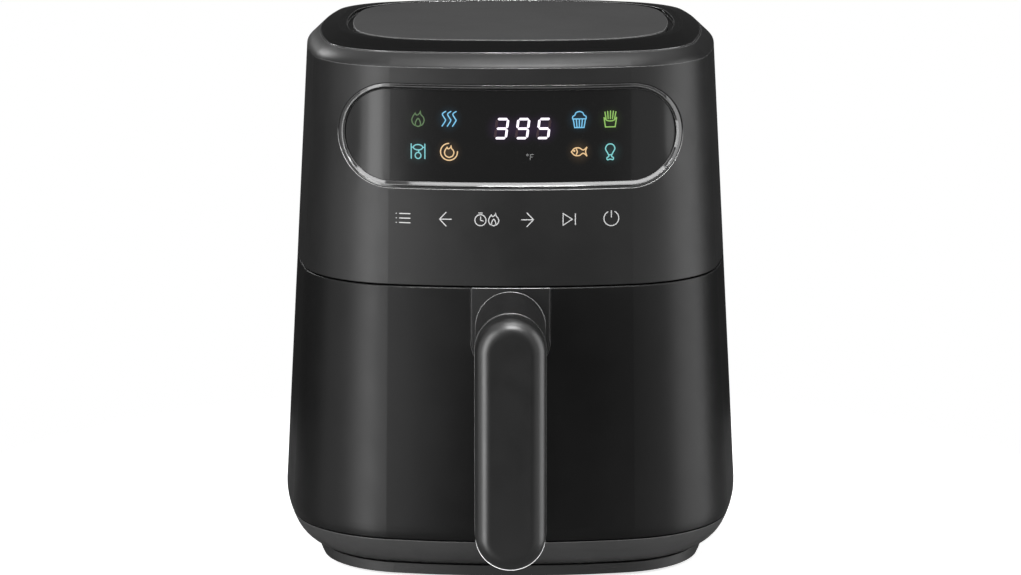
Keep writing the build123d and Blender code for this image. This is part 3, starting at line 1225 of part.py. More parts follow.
# Handle grip: back shell, bright trim and rounded front shell
with BuildPart() as handle_back:
    with BuildSketch(FRONT.offset(HANDLE_BACK)):
        add(grip_outline(0))
    extrude(amount=GRIP_BACK)
    fillet(handle_back.faces().sort_by(Axis.Y)[-1].edges(), BACK_ROUND)
save(handle_back, "handle_back")
with BuildPart() as handle_trim:
    with BuildSketch(FRONT.offset(HANDLE_BACK + GRIP_BACK)):
        add(grip_outline(TRIM_PROUD))
    extrude(amount=TRIM_THICKNESS)
save(handle_trim, "handle_trim")
with BuildPart() as handle_grip:
    with BuildSketch(FRONT.offset(HANDLE_BACK + GRIP_BACK + TRIM_THICKNESS)):
        add(grip_outline(0))
    extrude(amount=GRIP_THICKNESS - GRIP_BACK - TRIM_THICKNESS)
    fillet(handle_grip.faces().sort_by(Axis.Y)[0].edges(), GRIP_ROUND)
save(handle_grip, "handle_grip")

# Handle screws: from inside the liner into the bracket's bosses
with BuildPart() as handle_screws:
    with Locations(
        Plane((0, BODY_Y - LINER_FRONT + LINER_WALL, HANDLE_SCREW_LOW), x_dir=(1, 0, 0), z_dir=(0, 1, 0)),
        Plane((0, BODY_Y - LINER_FRONT + LINER_WALL, HANDLE_SCREW_HIGH), x_dir=(1, 0, 0), z_dir=(0, 1, 0)),
    ):
        add(screw(2 * SCREW_LENGTH))
save(handle_screws, "handle_screws")

# Drawer magnet: under the drawer front's top web, below the sensor
with BuildPart(FLOOR.offset(DRAWER_TOP - WEB)) as drawer_magnet:
    with Locations((MAGNET_X, -MAGNET_Y)):
        Box(*MAGNET_SIZE, align=TOP)
save(drawer_magnet, "drawer_magnet")

# Crisper plate: flat perforated plate in the pan
with BuildPart() as crisper_plate:
    with BuildSketch(FLOOR.offset(CRISPER_BOTTOM)):
        add(pan_outline(-PAN_WALL - CRISPER_GAP))
        with GridLocations(CRISPER_PITCH, CRISPER_PITCH, CRISPER_COUNT, CRISPER_COUNT):
            Circle(CRISPER_HOLE, mode=Mode.SUBTRACT)
        with GridLocations(CRISPER_FOOT_X, CRISPER_FOOT_Y, 2, 2):
            Circle(CRISPER_STEM + SNUG, mode=Mode.SUBTRACT)
    extrude(amount=CRISPER_THICKNESS)
save(crisper_plate, "crisper_plate")

# Crisper feet: soft studs that hold the plate off the pan's floor
with BuildPart(FLOOR.offset(CRISPER_BOTTOM)) as crisper_feet:
    with GridLocations(CRISPER_FOOT_X, CRISPER_FOOT_Y, 2, 2):
        Cylinder(CRISPER_FOOT, CRISPER_RISE - LOOSE, align=TOP)
        Cylinder(CRISPER_STEM, CRISPER_THICKNESS + CRISPER_BUTTON_HEIGHT, align=BOTTOM)
    with Locations((0, 0, CRISPER_THICKNESS)):
        with GridLocations(CRISPER_FOOT_X, CRISPER_FOOT_Y, 2, 2):
            Cylinder(CRISPER_BUTTON, CRISPER_BUTTON_HEIGHT, align=BOTTOM)
save(crisper_feet, "crisper_feet")
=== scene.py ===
import math
import bpy
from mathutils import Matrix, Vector
from mathutils.bvhtree import BVHTree


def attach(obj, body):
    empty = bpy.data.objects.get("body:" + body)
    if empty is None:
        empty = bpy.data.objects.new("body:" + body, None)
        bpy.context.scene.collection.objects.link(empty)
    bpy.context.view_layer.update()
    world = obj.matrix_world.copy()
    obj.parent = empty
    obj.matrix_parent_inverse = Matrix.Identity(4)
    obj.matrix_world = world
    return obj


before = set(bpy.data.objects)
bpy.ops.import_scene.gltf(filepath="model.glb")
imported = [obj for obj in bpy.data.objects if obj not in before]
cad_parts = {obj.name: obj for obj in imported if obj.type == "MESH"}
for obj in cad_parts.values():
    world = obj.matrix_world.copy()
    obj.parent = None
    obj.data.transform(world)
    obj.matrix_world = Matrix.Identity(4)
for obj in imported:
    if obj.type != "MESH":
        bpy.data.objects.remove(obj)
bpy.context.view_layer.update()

MM = 0.001

# View of the photograph: image size in pixels, where the camera stands and what it aims at
IMAGE_WIDTH = 1021
FOCAL_PIXELS = 3592.0
SENSOR_WIDTH = 36.0
CAMERA_PLACE = (0.0, -1.93855, 0.5450)
CAMERA_AIM = (0.0, 0.0272545, 0.1354)

# Display: icon columns and rows, stroke widths and heights, in millimetres
ICON_COLUMNS = (-48.3, -32.1, 35.9, 52.1)
ICON_ROWS = (248.6, 231.9)
ICON_NUDGE = 0.5
ICON_SCALE = 0.94
ICON_STROKE = 0.60
DIGIT_LEFT = -8.8
DIGIT_LOW = 238.7
DIGIT_WIDTH = 6.9
DIGIT_HEIGHT = 11.2
DIGIT_PITCH = 11.0
DIGIT_BAR = 1.25
DIGIT_GAP = 0.18
DIGIT_LEAN = 0.125
UNIT_PLACE = (10.5, 229.5)
UNIT_STROKE = 0.36
PRINT_PROUD = 0.05
PRINT_SUNK = 0.08

# Touch row under the display, in millimetres
TOUCH_COLUMNS = (-56.4, -34.0, -12.5, 8.9, 30.8, 52.8)
TOUCH_ROW = 196.9
TOUCH_STROKE = 0.52

# Glowing strip round the foot of the grip, a painted highlight: radius in the middle, share of it at the
# ends and how fast it swells between them, how far it lies behind the grip's front and inside its edge,
# in millimetres, and its arc in degrees
GLINT_RADIUS = 0.38
GLINT_END_SHARE = 0.12
GLINT_SWELL = 0.5
GLINT_SET = 6.2
GLINT_DEPTH = 0.25
GLINT_START = 186.0
GLINT_END = 354.0
GLINT_STEPS = 72
GLINT_SIDES = 8

# Sloped shoulder at the top of the housing, in metres
SHOULDER_TOP = max(corner[2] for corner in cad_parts["main_housing"].bound_box)
SHOULDER_RISE = 0.0066

# How finely curves of the print are divided, how far a bend may reach out, and how near the two ends
# of a closed stroke lie, as shares of its half width
ARC_STEPS = 28
CURVE_STEPS = 6
CAP_STEPS = 6
MITRE_LIMIT = 0.55
CLOSED_SHARE = 0.1

# Levels between which each mask of the effects goes from nothing to full
MOTTLE_SPAN = (0.35, 0.65)
POLISH_SPAN = (0.3, 0.7)
EDGE_SPAN = (0.995, 0.85)
UPWARD_SPAN = (-0.05, 0.15)
FILM_SPAN = (0.42, 0.72)
DUST_SPAN = (0.09, 0.05)
BRUSH_SPAN = (0.3, 0.7)
FLECK_SPAN = (0.22, 0.14)
BAND_SPAN = (0.05, 0.3)
SLOPE_SPAN = (0.3, 0.5)
LEVEL_SPAN = (0.95, 0.85)

# Sizes within the effects: polish patches and mottling in grains, dust specks on a patch of film,
# pebbles on a fleck, the width of a film patch in metres, and rays that look for an edge
POLISH_GRAINS = 40.0
MOTTLE_GRAINS = 170.0
SPECKS_ON_PATCH = 26.0
PEBBLES_ON_FLECK = 3.0
FILM_PATCH = 0.035
EDGE_RAYS = 6


def srgb(level, green=None, blue=None):
    """Linear colour from screen values between 0 and 255."""
    channels = (level, level if green is None else green, level if blue is None else blue)
    linear = []
    for value in channels:
        share = value / 255.0
        linear.append(share / 12.92 if share <= 0.04045 else ((share + 0.055) / 1.055) ** 2.4)
    return (*linear, 1.0)


# Shared node helpers


def place(tree, kind, inputs=None, **settings):
    """Adds a shader node, sets it up and wires or fills its inputs."""
    made = tree.nodes.new(kind)
    for key, value in settings.items():
        setattr(made, key, value)
    for key, value in (inputs or {}).items():
        if isinstance(value, bpy.types.NodeSocket):
            tree.links.new(value, made.inputs[key])
        else:
            made.inputs[key].default_value = value
    return made


def stretch(tree, value, low, high, bottom=0.0, top=1.0):
    """Maps the range low to high onto bottom to top, clamped."""
    made = place(tree, "ShaderNodeMapRange", {"Value": value, "From Min": low, "From Max": high,
                                              "To Min": bottom, "To Max": top})
    return made.outputs["Result"]


def sum_up(tree, operation, first, second):
    """Result of a math node."""
    return place(tree, "ShaderNodeMath", {0: first, 1: second}, operation=operation).outputs[0]


def arrow_math(tree, operation, *arrows):
    """Outputs of a vector math node."""
    return place(tree, "ShaderNodeVectorMath", dict(enumerate(arrows)), operation=operation).outputs


def height_of(tree, arrow):
    """Upward share of a place or direction."""
    return place(tree, "ShaderNodeSeparateXYZ", {"Vector": arrow}).outputs["Z"]


def blend_colour(tree, mask, first, second):
    """Colour that goes from first to second with the mask."""
    made = place(tree, "ShaderNodeMix", {0: mask, 6: first, 7: second}, data_type="RGBA")
    return made.outputs[2]


def noise(tree, vector, scale, detail, roughness=0.5):
    """Value of a noise texture."""
    made = place(tree, "ShaderNodeTexNoise", {"Vector": vector, "Scale": scale, "Detail": detail,
                                              "Roughness": roughness})
    return made.outputs["Fac"]


def new_effect(name, inputs, outputs):
    """Empty node group with named inputs and outputs."""
    group = bpy.data.node_groups.new(name, "ShaderNodeTree")
    for label, value in inputs:
        kind = "NodeSocketVector" if isinstance(value, tuple) else "NodeSocketFloat"
        socket = group.interface.new_socket(name=label, in_out="INPUT", socket_type=kind)
        socket.default_value = value
    for label, kind in outputs:
        group.interface.new_socket(name=label, in_out="OUTPUT", socket_type=kind)
    start = group.nodes.new("NodeGroupInput")
    end = group.nodes.new("NodeGroupOutput")
    return group, start, end


VALUE = "NodeSocketFloat"
ARROW = "NodeSocketVector"


def make_moulded_grain():
    """Fine spark eroded grain of a moulded face, with slow mottling over it."""
    group, start, end = new_effect("moulded_grain", [("Grain Size", 0.0004)],
                                   [("Height", VALUE), ("Shade", VALUE), ("Gloss", VALUE)])
    where = place(group, "ShaderNodeTexCoord").outputs["Object"]
    fine = sum_up(group, "DIVIDE", 1.0, start.outputs["Grain Size"])
    coarse = sum_up(group, "DIVIDE", fine, POLISH_GRAINS)
    slow = sum_up(group, "DIVIDE", fine, MOTTLE_GRAINS)
    group.links.new(noise(group, where, fine, 2.0, 0.6), end.inputs["Height"])
    group.links.new(stretch(group, noise(group, where, slow, 3.0), *MOTTLE_SPAN), end.inputs["Shade"])
    group.links.new(stretch(group, noise(group, where, coarse, 4.0), *POLISH_SPAN), end.inputs["Gloss"])
    return group


def make_soft_edge():
    """Rounded normal along sharp edges, a mask of those edges and one of the upper edges alone."""
    group, start, end = new_effect("soft_edge", [("Radius", 0.0005)],
                                   [("Normal", ARROW), ("Edge", VALUE), ("Upper Edge", VALUE)])
    rounded = place(group, "ShaderNodeBevel", {"Radius": start.outputs["Radius"]}, samples=EDGE_RAYS)
    flat = place(group, "ShaderNodeNewGeometry").outputs["Normal"]
    turned = arrow_math(group, "DOT_PRODUCT", rounded.outputs["Normal"], flat)["Value"]
    lean = arrow_math(group, "SUBTRACT", rounded.outputs["Normal"], flat)["Vector"]
    upward = stretch(group, height_of(group, lean), *UPWARD_SPAN)
    group.links.new(rounded.outputs["Normal"], end.inputs["Normal"])
    bent = stretch(group, turned, *EDGE_SPAN)
    group.links.new(bent, end.inputs["Edge"])
    group.links.new(sum_up(group, "MULTIPLY", bent, upward), end.inputs["Upper Edge"])
    return group


def make_handling_film():
    """Faint wiped film and single dust specks on a polished face."""
    group, start, end = new_effect("handling_film", [("Patch Size", 0.03)],
                                   [("Film", VALUE), ("Dust", VALUE)])
    where = place(group, "ShaderNodeTexCoord").outputs["Object"]
    wide = sum_up(group, "DIVIDE", 1.0, start.outputs["Patch Size"])
    narrow = sum_up(group, "MULTIPLY", wide, SPECKS_ON_PATCH)
    patches = noise(group, where, wide, 5.0, 0.6)
    specks = place(group, "ShaderNodeTexVoronoi", {"Vector": where, "Scale": narrow})
    group.links.new(stretch(group, patches, *FILM_SPAN), end.inputs["Film"])
    group.links.new(stretch(group, specks.outputs["Distance"], *DUST_SPAN), end.inputs["Dust"])
    return group


def make_brushed_lines():
    """Drawn lines of rolled or brushed metal along one direction."""
    group, start, end = new_effect("brushed_lines", [("Stretch", (400.0, 9000.0, 9000.0))],
                                   [("Height", VALUE), ("Shade", VALUE)])
    where = place(group, "ShaderNodeTexCoord").outputs["Object"]
    along = arrow_math(group, "MULTIPLY", where, start.outputs["Stretch"])["Vector"]
    lines = noise(group, along, 1.0, 3.0, 0.65)
    group.links.new(lines, end.inputs["Height"])
    group.links.new(stretch(group, lines, *BRUSH_SPAN), end.inputs["Shade"])
    return group


def make_coating_flecks():
    """Pale flecks and pebbled skin of a baked or moulded coating."""
    group, start, end = new_effect("coating_flecks", [("Fleck Size", 0.0012)],
                                   [("Height", VALUE), ("Flecks", VALUE)])
    where = place(group, "ShaderNodeTexCoord").outputs["Object"]
    many = sum_up(group, "DIVIDE", 1.0, start.outputs["Fleck Size"])
    fine = sum_up(group, "MULTIPLY", many, PEBBLES_ON_FLECK)
    cells = place(group, "ShaderNodeTexVoronoi", {"Vector": where, "Scale": many})
    group.links.new(stretch(group, cells.outputs["Distance"], *FLECK_SPAN), end.inputs["Flecks"])
    group.links.new(noise(group, where, fine, 2.0), end.inputs["Height"])
    return group


def make_stacked_bands():
    """Even bands one above the other: sheet stacks and wound wire."""
    group, start, end = new_effect("stacked_bands", [("Pitch", 0.0005)],
                                   [("Height", VALUE), ("Shade", VALUE)])
    where = place(group, "ShaderNodeTexCoord").outputs["Object"]
    turns = sum_up(group, "DIVIDE", height_of(group, where), start.outputs["Pitch"])
    wave = sum_up(group, "PINGPONG", turns, 0.5)
    group.links.new(wave, end.inputs["Height"])
    group.links.new(stretch(group, wave, *BAND_SPAN), end.inputs["Shade"])
    return group


def make_crowned_slope():
    """Normal of a slope that is slightly round between two heights. Upright faces keep theirs."""
    group, start, end = new_effect("crowned_slope", [("Normal", (0.0, 0.0, 1.0)), ("Low", 0.0),
                                                     ("High", 1.0), ("Bend", 0.5)],
                                   [("Normal", ARROW)])
    where = place(group, "ShaderNodeTexCoord").outputs["Object"]
    height = height_of(group, where)
    steep = height_of(group, place(group, "ShaderNodeNewGeometry").outputs["Normal"])
    climb = stretch(group, height, start.outputs["Low"], start.outputs["High"], -0.5, 0.5)
    sloped = sum_up(group, "MULTIPLY", stretch(group, steep, *SLOPE_SPAN),
                    stretch(group, steep, *LEVEL_SPAN))
    above = sum_up(group, "GREATER_THAN", height, start.outputs["Low"])
    lift = sum_up(group, "MULTIPLY", sum_up(group, "MULTIPLY", climb, start.outputs["Bend"]),
                  sum_up(group, "MULTIPLY", sloped, above))
    upward = place(group, "ShaderNodeCombineXYZ", {"Z": lift}).outputs["Vector"]
    leaned = arrow_math(group, "ADD", start.outputs["Normal"], upward)["Vector"]
    group.links.new(arrow_math(group, "NORMALIZE", leaned)["Vector"], end.inputs["Normal"])
    return group


MOULDED_GRAIN = make_moulded_grain()
SOFT_EDGE = make_soft_edge()
HANDLING_FILM = make_handling_film()
BRUSHED_LINES = make_brushed_lines()
COATING_FLECKS = make_coating_flecks()
STACKED_BANDS = make_stacked_bands()
CROWNED_SLOPE = make_crowned_slope()

# Pale grey of the painted highlights along edges
EDGE_HIGHLIGHT_GREY = srgb(200)


class Finish:
    """One material in the making: its shader, and the effects placed in it."""

    def __init__(self, name, **plain):
        self.material = bpy.data.materials.new(name)
        self.material.use_nodes = True
        self.tree = self.material.node_tree
        self.shader = self.tree.nodes["Principled BSDF"]
        for label, value in plain.items():
            self.shader.inputs[label.replace("_", " ")].default_value = value

    def wire(self, output, label):
        """Feeds an input of the shader."""
        self.tree.links.new(output, self.shader.inputs[label])

    def effect(self, group, **values):
        """Places an effect with its own values and gives its outputs."""
        inputs = {label.replace("_", " "): value for label, value in values.items()}
        return place(self.tree, "ShaderNodeGroup", inputs, node_tree=group).outputs

    def colour(self, mask, first, second):
        """Base colour that goes from first to second with a mask."""
        mixed = blend_colour(self.tree, mask, first, second)
        self.wire(mixed, "Base Color")
        return mixed

    def paint_edge_highlight(self, edge, under, amount):
        """Painted highlight: pale metallic colour along the masked edges, over the colour underneath."""
        share = sum_up(self.tree, "MULTIPLY", edge, amount)
        self.colour(share, under, EDGE_HIGHLIGHT_GREY)
        self.wire(share, "Metallic")

    def rough(self, mask, low, high):
        """Roughness from low to high with a mask."""
        self.wire(stretch(self.tree, mask, 0.0, 1.0, low, high), "Roughness")

    def relief(self, height, depth, normal=None):
        """Bump of a height, on top of a normal where one is given."""
        wires = {"Height": height, "Distance": depth, "Strength": 1.0}
        if normal is not None:
            wires["Normal"] = normal
        self.wire(place(self.tree, "ShaderNodeBump", wires).outputs["Normal"], "Normal")


def moulded_plastic(name, dark, light, grain_size, depth, smooth, dull, edge_radius, edge_highlight=0.0,
                    crown=0.0, **plain):
    """Moulded plastic: grain, mottled shade, painted highlights along its upper edges and a crowned
    shoulder.
    """
    plastic = Finish(name, **plain)
    grain = plastic.effect(MOULDED_GRAIN, Grain_Size=grain_size)
    edge = plastic.effect(SOFT_EDGE, Radius=edge_radius)
    shade = plastic.colour(grain["Shade"], dark, light)
    plastic.paint_edge_highlight(edge["Upper Edge"], shade, edge_highlight)
    plastic.rough(grain["Gloss"], smooth, dull)
    normal = edge["Normal"]
    if crown:
        normal = plastic.effect(CROWNED_SLOPE, Normal=normal, Low=SHOULDER_TOP - SHOULDER_RISE,
                                High=SHOULDER_TOP, Bend=crown)["Normal"]
    plastic.relief(grain["Height"], depth, normal)
    return plastic.material


def drawn_metal(name, dark, light, lines, depth, smooth, dull, edge_radius):
    """Sheet or turned metal with the lines of its making."""
    metal = Finish(name, Metallic=1.0)
    brushed = metal.effect(BRUSHED_LINES, Stretch=lines)
    edge = metal.effect(SOFT_EDGE, Radius=edge_radius)
    metal.colour(brushed["Shade"], dark, light)
    metal.rough(brushed["Shade"], dull, smooth)
    metal.relief(brushed["Height"], depth, edge["Normal"])
    return metal.material


def flecked_coat(name, dark, fleck, fleck_size, depth, smooth, dull, edge_radius):
    """Coating or rubber with pale flecks in a pebbled skin."""
    coat = Finish(name)
    skin = coat.effect(COATING_FLECKS, Fleck_Size=fleck_size)
    edge = coat.effect(SOFT_EDGE, Radius=edge_radius)
    coat.colour(skin["Flecks"], dark, fleck)
    coat.rough(skin["Flecks"], dull, smooth)
    coat.relief(skin["Height"], depth, edge["Normal"])
    return coat.material


def polished_plastic(name, clean, hazy, smooth, dull, edge_radius, edge_highlight=0.0, **plain):
    """Glossy black plastic with a wiped film, dust and painted highlights along its edges."""
    gloss = Finish(name, **plain)
    film = gloss.effect(HANDLING_FILM, Patch_Size=FILM_PATCH)
    edge = gloss.effect(SOFT_EDGE, Radius=edge_radius)
    shade = gloss.colour(film["Dust"], clean, hazy)
    gloss.paint_edge_highlight(edge["Edge"], shade, edge_highlight)
    gloss.rough(film["Film"], smooth, dull)
    gloss.wire(edge["Normal"], "Normal")
    return gloss


# Finishes of the outside


def body_black():
    return moulded_plastic("body_black", dark=srgb(19), light=srgb(22), grain_size=0.00042,
                           depth=0.000022, smooth=0.38, dull=0.44, edge_radius=0.0006, edge_highlight=0.7,
                           crown=1.0, Specular_IOR_Level=0.32)


def base_black():
    return moulded_plastic("base_black", dark=srgb(48), light=srgb(52), grain_size=0.00042,
                           depth=0.000022, smooth=0.38, dull=0.44, edge_radius=0.0006, edge_highlight=0.15,
                           Specular_IOR_Level=0.28)


# Painted shade: a darker, less shiny copy of the housing's black plastic for the drawer front
def shaded_front_black():
    return moulded_plastic("shaded_front_black", dark=srgb(9), light=srgb(12), grain_size=0.00042,
                           depth=0.000022, smooth=0.33, dull=0.38, edge_radius=0.0006, edge_highlight=0.9,
                           Specular_IOR_Level=0.21)


def plinth_black():
    return moulded_plastic("plinth_black", dark=srgb(40), light=srgb(44), grain_size=0.0005,
                           depth=0.00003, smooth=0.5, dull=0.58, edge_radius=0.0004, edge_highlight=0.10,
                           Specular_IOR_Level=0.35)


def rubber_black():
    return flecked_coat("rubber_black", dark=srgb(22), fleck=srgb(34), fleck_size=0.0008, depth=0.00006,
                        smooth=0.7, dull=0.85, edge_radius=0.0006)


def lacquered_black(name, edge_radius):
    """Polished black with a clear coat and painted highlights along its edges."""
    made = polished_plastic(name, clean=srgb(9), hazy=srgb(48), smooth=0.06, dull=0.12,
                            edge_radius=edge_radius, edge_highlight=0.42, Coat_Weight=0.5,
                            Coat_Roughness=0.05)
    return made.material


def gloss_black():
    return lacquered_black("gloss_black", edge_radius=0.0006)


def bezel_black():
    return lacquered_black("bezel_black", edge_radius=0.0012)


def plate_grey():
    return moulded_plastic("plate_grey", dark=srgb(41), light=srgb(45), grain_size=0.0005,
                           depth=0.00003, smooth=0.56, dull=0.62, edge_radius=0.0006, edge_highlight=0.9,
                           Specular_IOR_Level=0.2)


def handle_black():
    return moulded_plastic("handle_black", dark=srgb(13), light=srgb(16), grain_size=0.0003,
                           depth=0.000008, smooth=0.34, dull=0.38, edge_radius=0.0006, edge_highlight=0.2,
                           Specular_IOR_Level=0.62)


def trim_chrome():
    return drawn_metal("trim_chrome", dark=srgb(92), light=srgb(106), lines=(900.0, 900.0, 500.0),
                       depth=0.000002, smooth=0.3, dull=0.38, edge_radius=0.0003)


# Painted highlight: pale, glowing plastic of the strip round the grip's foot
def glint_bright():
    return moulded_plastic("glint_bright", dark=srgb(225), light=srgb(235), grain_size=0.0003,
                           depth=0.000004, smooth=0.3, dull=0.4, edge_radius=0.0001,
                           Emission_Color=srgb(130), Emission_Strength=1.0)


def grille_black():
    return moulded_plastic("grille_black", dark=srgb(24), light=srgb(29), grain_size=0.0005,
                           depth=0.00003, smooth=0.48, dull=0.56, edge_radius=0.0004, edge_highlight=0.15)


# Finishes of the inside


def steel():
    return drawn_metal("steel", dark=srgb(148), light=srgb(172), lines=(300.0, 7000.0, 7000.0),
                       depth=0.000004, smooth=0.28, dull=0.42, edge_radius=0.0004)


def screw_steel():
    return drawn_metal("screw_steel", dark=srgb(150), light=srgb(182), lines=(6000.0, 6000.0, 800.0),
                       depth=0.000004, smooth=0.25, dull=0.38, edge_radius=0.0002)


def reflector_alloy():
    return drawn_metal("reflector_alloy", dark=srgb(178), light=srgb(198),
                       lines=(2500.0, 2500.0, 900.0), depth=0.000004, smooth=0.2, dull=0.34,
                       edge_radius=0.0004)


def element_steel():
    return flecked_coat("element_steel", dark=srgb(58, 52, 48), fleck=srgb(92, 78, 66),
                        fleck_size=0.003, depth=0.00002, smooth=0.42, dull=0.55, edge_radius=0.0003)


def terminal_white():
    return flecked_coat("terminal_white", dark=srgb(214, 211, 203), fleck=srgb(196, 192, 182),
                        fleck_size=0.0015, depth=0.00002, smooth=0.35, dull=0.45, edge_radius=0.0004)


def seal_grey():
    return flecked_coat("seal_grey", dark=srgb(74), fleck=srgb(88), fleck_size=0.001, depth=0.00003,
                        smooth=0.55, dull=0.68, edge_radius=0.0004)


def banded_metal(name, dark, light, pitch, depth, smooth, dull):
    """Metal in even layers."""
    metal = Finish(name, Metallic=1.0)
    bands = metal.effect(STACKED_BANDS, Pitch=pitch)
    metal.colour(bands["Shade"], dark, light)
    metal.rough(bands["Shade"], dull, smooth)
    metal.relief(bands["Height"], depth)
    return metal.material


def stator_iron():
    return banded_metal("stator_iron", dark=srgb(54), light=srgb(118, 116, 114), pitch=0.0005,
                        depth=0.00012, smooth=0.4, dull=0.6)


def winding_copper():
    return banded_metal("winding_copper", dark=srgb(92, 44, 20), light=srgb(196, 112, 62),
                        pitch=0.00045, depth=0.0002, smooth=0.26, dull=0.4)


def bush_bronze():
    return drawn_metal("bush_bronze", dark=srgb(150, 112, 66), light=srgb(186, 146, 92),
                       lines=(5000.0, 5000.0, 900.0), depth=0.000004, smooth=0.3, dull=0.42,
                       edge_radius=0.0003)


def board_green():
    """Solder mask over tracks: paler lines of copper under green."""
    board = Finish("board_green")
    where = place(board.tree, "ShaderNodeTexCoord").outputs["Object"]
    tracks = place(board.tree, "ShaderNodeTexBrick", {
        "Vector": where, "Scale": 130.0, "Mortar Size": 0.06, "Color1": srgb(16, 58, 36),
        "Color2": srgb(20, 64, 40), "Mortar": srgb(44, 104, 66)})
    skin = board.effect(MOULDED_GRAIN, Grain_Size=0.0008)
    board.wire(tracks.outputs["Color"], "Base Color")
    board.rough(skin["Gloss"], low=0.28, high=0.4)
    board.relief(tracks.outputs["Fac"], depth=0.00004)
    return board.material


def component_black():
    return moulded_plastic("component_black", dark=srgb(26), light=srgb(34), grain_size=0.0004,
                           depth=0.00003, smooth=0.5, dull=0.62, edge_radius=0.0004, edge_highlight=0.1)


def guide_white():
    return moulded_plastic("guide_white", dark=srgb(206), light=srgb(218), grain_size=0.0006,
                           depth=0.00001, smooth=0.38, dull=0.46, edge_radius=0.0004,
                           Subsurface_Weight=0.08)


def nonstick_grey():
    return flecked_coat("nonstick_grey", dark=srgb(42, 42, 44), fleck=srgb(64, 64, 66),
                        fleck_size=0.0016, depth=0.00003, smooth=0.32, dull=0.42, edge_radius=0.0006)


def liner_grey():
    return moulded_plastic("liner_grey", dark=srgb(44), light=srgb(50), grain_size=0.0005,
                           depth=0.00003, smooth=0.5, dull=0.58, edge_radius=0.0004, edge_highlight=0.1)


def magnet_grey():
    return drawn_metal("magnet_grey", dark=srgb(120), light=srgb(148), lines=(4000.0, 4000.0, 4000.0),
                       depth=0.000004, smooth=0.3, dull=0.45, edge_radius=0.0004)


def silicone_grey():
    return flecked_coat("silicone_grey", dark=srgb(66), fleck=srgb(78), fleck_size=0.0012,
                        depth=0.00003, smooth=0.6, dull=0.72, edge_radius=0.0005)


# Lit window and print


LIT_ICONS = {
    "flame": ((ICON_COLUMNS[0], ICON_ROWS[0]), "leaf"),
    "steam": ((ICON_COLUMNS[1], ICON_ROWS[0] + ICON_NUDGE), "sky"),
    "skewer": ((ICON_COLUMNS[0], ICON_ROWS[1]), "teal"),
    "reheat": ((ICON_COLUMNS[1], ICON_ROWS[1]), "amber"),
    "cupcake": ((ICON_COLUMNS[2], ICON_ROWS[0]), "sky"),
    "fries": ((ICON_COLUMNS[3], ICON_ROWS[0]), "lime"),
    "fish": ((ICON_COLUMNS[2], ICON_ROWS[1]), "amber"),
    "drumstick": ((ICON_COLUMNS[3], ICON_ROWS[1] - ICON_NUDGE), "aqua"),
}
# Bars of a seven bar digit, lettered from the top round to the right, the middle bar last
BARS_LIT = ("abcdg", "abcdfg", "acdfg")
ALL_BARS = "abcdefg"
LIT_COLOURS = {
    "leaf": srgb(70, 106, 54),
    "sky": srgb(122, 202, 244),
    "teal": srgb(122, 206, 212),
    "amber": srgb(244, 204, 150),
    "lime": srgb(150, 200, 100),
    "aqua": srgb(130, 214, 214),
    "digit": srgb(250, 240, 255),
}
# Ink off the middle of its light, stray light in the lens round each icon and digit, and brightness
INK_DIP = 0.86
GLOW_RADIUS = 0.0080
GLOW_SHARE = 0.17
GLOW_FALL = 1.6
DIGIT_GLOW = srgb(178, 120, 214)
DIGIT_GLOW_RADIUS = 0.0095
DIGIT_GLOW_SHARE = 0.18
ICON_STRENGTH = 1.0
DIGIT_STRENGTH = 1.6


def front_point(carrier, x, z):
    """Point and outward normal on the front of a carrier, from x and z in millimetres."""
    found = carrier.ray_cast(Vector((x * MM, -1.0, z * MM)), Vector((0.0, 1.0, 0.0)))
    return found[0], found[1]


def surface_tree(node):
    """Search tree over the faces of a CAD node."""
    return BVHTree.FromObject(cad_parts[node], bpy.context.evaluated_depsgraph_get())


LENS = surface_tree("display_lens")
HOUSING = surface_tree("main_housing")


def glow_spot(tree, where, centre, radius, colour, share):
    """Colour that fades out round a point on the lens."""
    away = arrow_math(tree, "DISTANCE", where, centre)["Value"]
    near = stretch(tree, away, radius, 0.0, 0.0, share)
    soft = sum_up(tree, "POWER", near, GLOW_FALL)
    return blend_colour(tree, soft, srgb(0), colour)


def lens_black():
    """Smoked lens with the stray light of the lit icons and digits in it."""
    lens = polished_plastic("lens_black", clean=srgb(17), hazy=srgb(44), smooth=0.19, dull=0.22,
                            edge_radius=0.0004, Emission_Strength=1.0, Specular_IOR_Level=0.28)
    where = place(lens.tree, "ShaderNodeTexCoord").outputs["Object"]
    spots = [(middle, GLOW_RADIUS, LIT_COLOURS[tint], GLOW_SHARE) for middle, tint in LIT_ICONS.values()]
    for index in range(len(BARS_LIT)):
        middle = (DIGIT_LEFT + index * DIGIT_PITCH + (DIGIT_WIDTH + DIGIT_LEAN * DIGIT_HEIGHT) / 2,
                  DIGIT_LOW + DIGIT_HEIGHT / 2)
        spots.append((middle, DIGIT_GLOW_RADIUS, DIGIT_GLOW, DIGIT_GLOW_SHARE))
    total = srgb(0)[:3]
    for (x, z), radius, colour, share in spots:
        part = glow_spot(lens.tree, where, front_point(LENS, x, z)[0], radius, colour, share)
        total = arrow_math(lens.tree, "ADD", total, part)["Vector"]
    lens.wire(total, "Emission Color")
    return lens.material


def lit_ink(name, colour, strength):
    """Lit icon or digit: bright in the middle of the light guide, a little weaker off it."""
    ink = Finish(name, Emission_Strength=strength)
    grain = ink.effect(MOULDED_GRAIN, Grain_Size=0.0002)
    weaker = tuple(INK_DIP * share for share in colour[:3]) + (1.0,)
    shade = blend_colour(ink.tree, grain["Gloss"], weaker, colour)
    ink.wire(shade, "Emission Color")
    ink.colour(grain["Shade"], srgb(14), srgb(20))
    ink.rough(grain["Gloss"], low=0.35, high=0.45)
    ink.relief(grain["Height"], depth=0.000004)
    return ink.material


